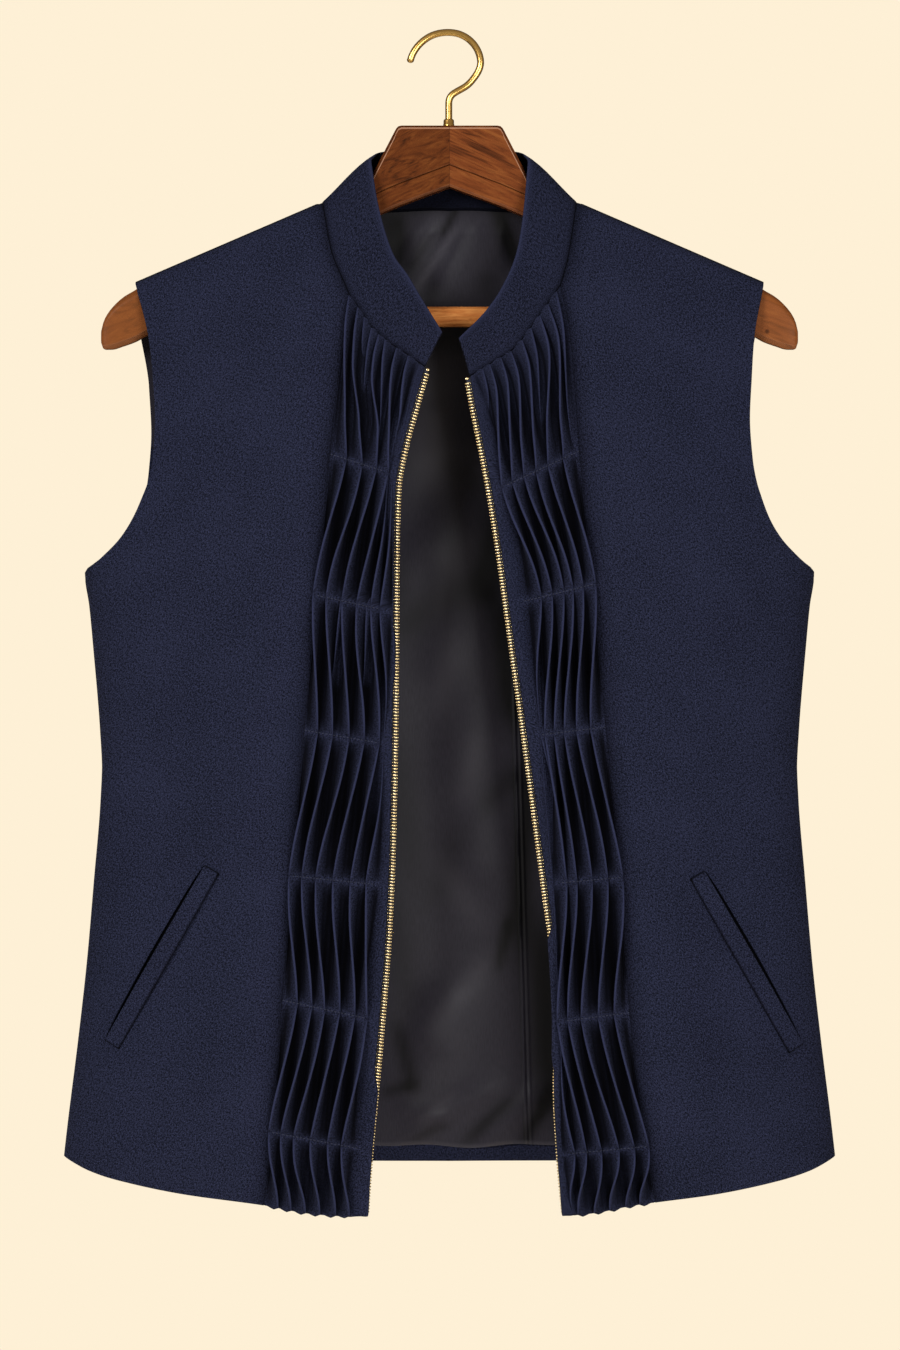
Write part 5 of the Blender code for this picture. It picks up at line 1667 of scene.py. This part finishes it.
for side, sign in SIDES.items():
    tones = WALNUT_DARK, WALNUT_RED[side], WALNUT_PALE[side], WALNUT_ARM_LIGHT
    turn = 0, ARM_SLOPE * sign, 0
    wood = walnut_finish(f"oiled_walnut_{side}_arm", tones, turn, FIGURE[side])
    outs = np.concatenate([[0.4], ARM["out"][:7], np.linspace(2, 31, 15), np.linspace(36, 52, 9)])
    outs = np.unique(np.concatenate([outs, steps(53, 197, 4), np.linspace(197, 225.3, 24)]))
    rings, arris, groove = [], [], []
    for out in outs:
        reader = straight if out < YOKE_END else read
        top, bottom = float(reader(ARM, "top", out)), float(reader(ARM, "bottom", out))
        half, flat = float(reader(ARM, "half", out)), straight(ARM, "flat", out)
        deep, wide = float(reader(ARM, "deep", out)), float(reader(ARM, "wide", out))
        ease = 1.4 + 1.6 * min(max((out - 60) / 60, 0), 1) * min((225.4 - out) / 8, 1)
        cut = GROOVE_DEPTH * min(max((GROOVE_END - out) / 6, 0), 1)
        face = bottom - top - deep
        line = min(GROOVE_HEIGHT, face * 0.7)
        mitre = MITRE_DARK * (out == 0)
        # Half of the section from its underside up: across, height, painted highlight, and how
        # dark: painted shade in the groove, the glued mitre and the chamfer.
        section = [
            (0, -bottom, 0, mitre),
            (half - ease, -bottom, 0.06, mitre),
            (half, -bottom + ease, 0.12, mitre),
            (half, -bottom + ease + 0.5, 0, mitre),
            (half, -bottom + max(line - 0.5, ease + 0.6), 0, mitre),
            (half - cut, -bottom + line, 0, max(1.1 * cut, mitre)),
            (half, -bottom + min(line + 0.6, face - 1.8), 0.08 * cut, mitre),
            (half, -bottom + min(line + 1.1, face - 1.6), 0, mitre),
            (half, -top - deep - 0.9, 0, mitre),
        ]
        for step, wear_and_highlight in enumerate(ARRIS_HIGHLIGHT):
            turn = pi / 2 * step / 7
            in_by = mix(wide * (1 - cos(turn)), wide * step / 7, flat)
            down_by = mix(deep * (1 - sin(turn)), deep * (1 - step / 7), flat)
            dark = max(0.25 * flat * (step > 0), mitre)
            section.append((half - in_by, -top - down_by, flat * wear_and_highlight, dark))
        far_half = [(-y, *rest) for y, *rest in reversed(section[1:])]
        section = [*section, (0, -top, 0, 0.25 * flat), *far_half]
        rings.append([(sign * out, y, z) for y, z, _, _ in section])
        arris.append([wear_and_highlight for _, _, wear_and_highlight, _ in section])
        groove.append([dark for _, _, _, dark in section])
    arm = hard_piece(f"hanger_arm_{side}_walnut", through_rings(rings), wood, 30)
    for mark, values in {"arris": arris, "groove": groove}.items():
        held = arm.data.attributes.new(mark, "FLOAT", "POINT")
        held.data.foreach_set("value", np.array(values, np.float32).ravel())
    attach(arm, "root")
    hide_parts(f"hanger_arm_{side}")


# Hanger bar
# A walnut dowel with a paler, straighter grain, its ends cut on the slant and glued to the
# undersides of the arms.

BAR_DARK, BAR_RED, BAR_PALE = "#8a4a20", "#b87039", "#cf8a4c"
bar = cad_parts["hanger_bar"]
# The pale brown is also the bar's painted light towards its ends.
bar_tones = BAR_DARK, BAR_RED, BAR_PALE, BAR_PALE
bar_wood = walnut_finish("oiled_walnut_dowel", bar_tones, (0, 0, 0), FIGURE["bar"])
for slot in bar.material_slots:
    slot.material = bar_wood


# Hook and ferrule
# A brass-plated steel wire, 4.5 mm thick, bent to a question mark with a rounded tip. It
# turns in a brass ferrule pressed into the top of the yoke.

HOOK_WIRE = 2.25
HOOK_CENTRE = (-1, -18.2)
HOOK_LINE = table(
    "angle radius",
    (-58, 18.4),
    (-33, 18.9),
    (6, 21.2),
    (60, 20.8),
    (90, 20.45),
    (130, 21.6),
    (174, 24.4),
)
# The rounded tip: how far along the wire from its first point, and its radius there.
HOOK_TIP = table("on radius", (-0.2, 0.25), (0.1, 1.2), (0.6, 1.9), (1.3, 2.3), (2.2, 2.35))
WIRE_SIDES, FERRULE_SIDES = 16, 32
STEM_X, STEM_TOP_DROP = -0.5, 44
FERRULE_TOP_DROP, FERRULE_RADIUS, YOKE_TOP_DROP = 54, 3.6, 58.6

angles = np.arange(178, -59, -4.0)
radius = read(HOOK_LINE, "radius", angles)
turned = np.radians(angles)
bow = HOOK_CENTRE + radius[:, None] * np.stack([np.cos(turned), np.sin(turned)], -1)
# The neck swings in from the bow's end to the stem, which drops straight to the yoke.
heading = unit(bow[-1] - bow[-2])
foot = np.array([STEM_X, -STEM_TOP_DROP])
pull = np.linalg.norm(foot - bow[-1]) * 0.45
t = np.linspace(0, 1, 15)[1:, None]
reach_out, reach_in = bow[-1] + heading * pull, foot + np.array([0, pull])
neck = bow[-1] * (1 - t) ** 3 + reach_out * 3 * t * (1 - t) ** 2
neck = neck + reach_in * 3 * t**2 * (1 - t) + foot * t**3
line = np.concatenate([bow, neck, [[STEM_X, -YOKE_TOP_DROP + GAP]]])
way = unit(np.gradient(line, axis=0))
aside = np.stack([-way[:, 1], way[:, 0]], -1)
sizes = np.concatenate([HOOK_TIP["radius"], np.full(len(line) - 1, HOOK_WIRE)])
aside = np.concatenate([np.repeat(aside[:1], len(HOOK_TIP["on"]), axis=0), aside[1:]])
line = np.concatenate([line[0] + way[0] * HOOK_TIP["on"][:, None], line[1:]])
rings = []
for point, across, size in zip(line, aside, sizes):
    ring = []
    for turn in np.linspace(0, 2 * pi, WIRE_SIDES, endpoint=False):
        wide = across * cos(turn) * size
        ring.append((point[0] + wide[0], sin(turn) * size, point[1] + wide[1]))
    rings.append(ring)
hook = hard_piece("hook_wire", through_rings(rings), BRASS, 50)
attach(hook, "root")
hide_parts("hook")

# The ferrule is turned: a straight skirt, a small step and a rounded shoulder at the wire.
low, high = -YOKE_TOP_DROP + GAP, -FERRULE_TOP_DROP
bore = HOOK_WIRE + 0.1
profile = [(bore, low), (FERRULE_RADIUS, low), (FERRULE_RADIUS, low + 0.9)]
profile += [(FERRULE_RADIUS - 0.2, low + 1.2), (FERRULE_RADIUS - 0.2, high - 0.9)]
profile += [(FERRULE_RADIUS - 0.5, high - 0.3), (FERRULE_RADIUS - 0.9, high), (bore, high)]
rings = []
for turn in np.linspace(0, 2 * pi, FERRULE_SIDES, endpoint=False):
    rings.append([(STEM_X + r * cos(turn), r * sin(turn), z) for r, z in profile])
ferrule = hard_piece("ferrule_ring", through_rings(rings, joined=True), BRASS, 35)
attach(ferrule, "root")
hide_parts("ferrule")
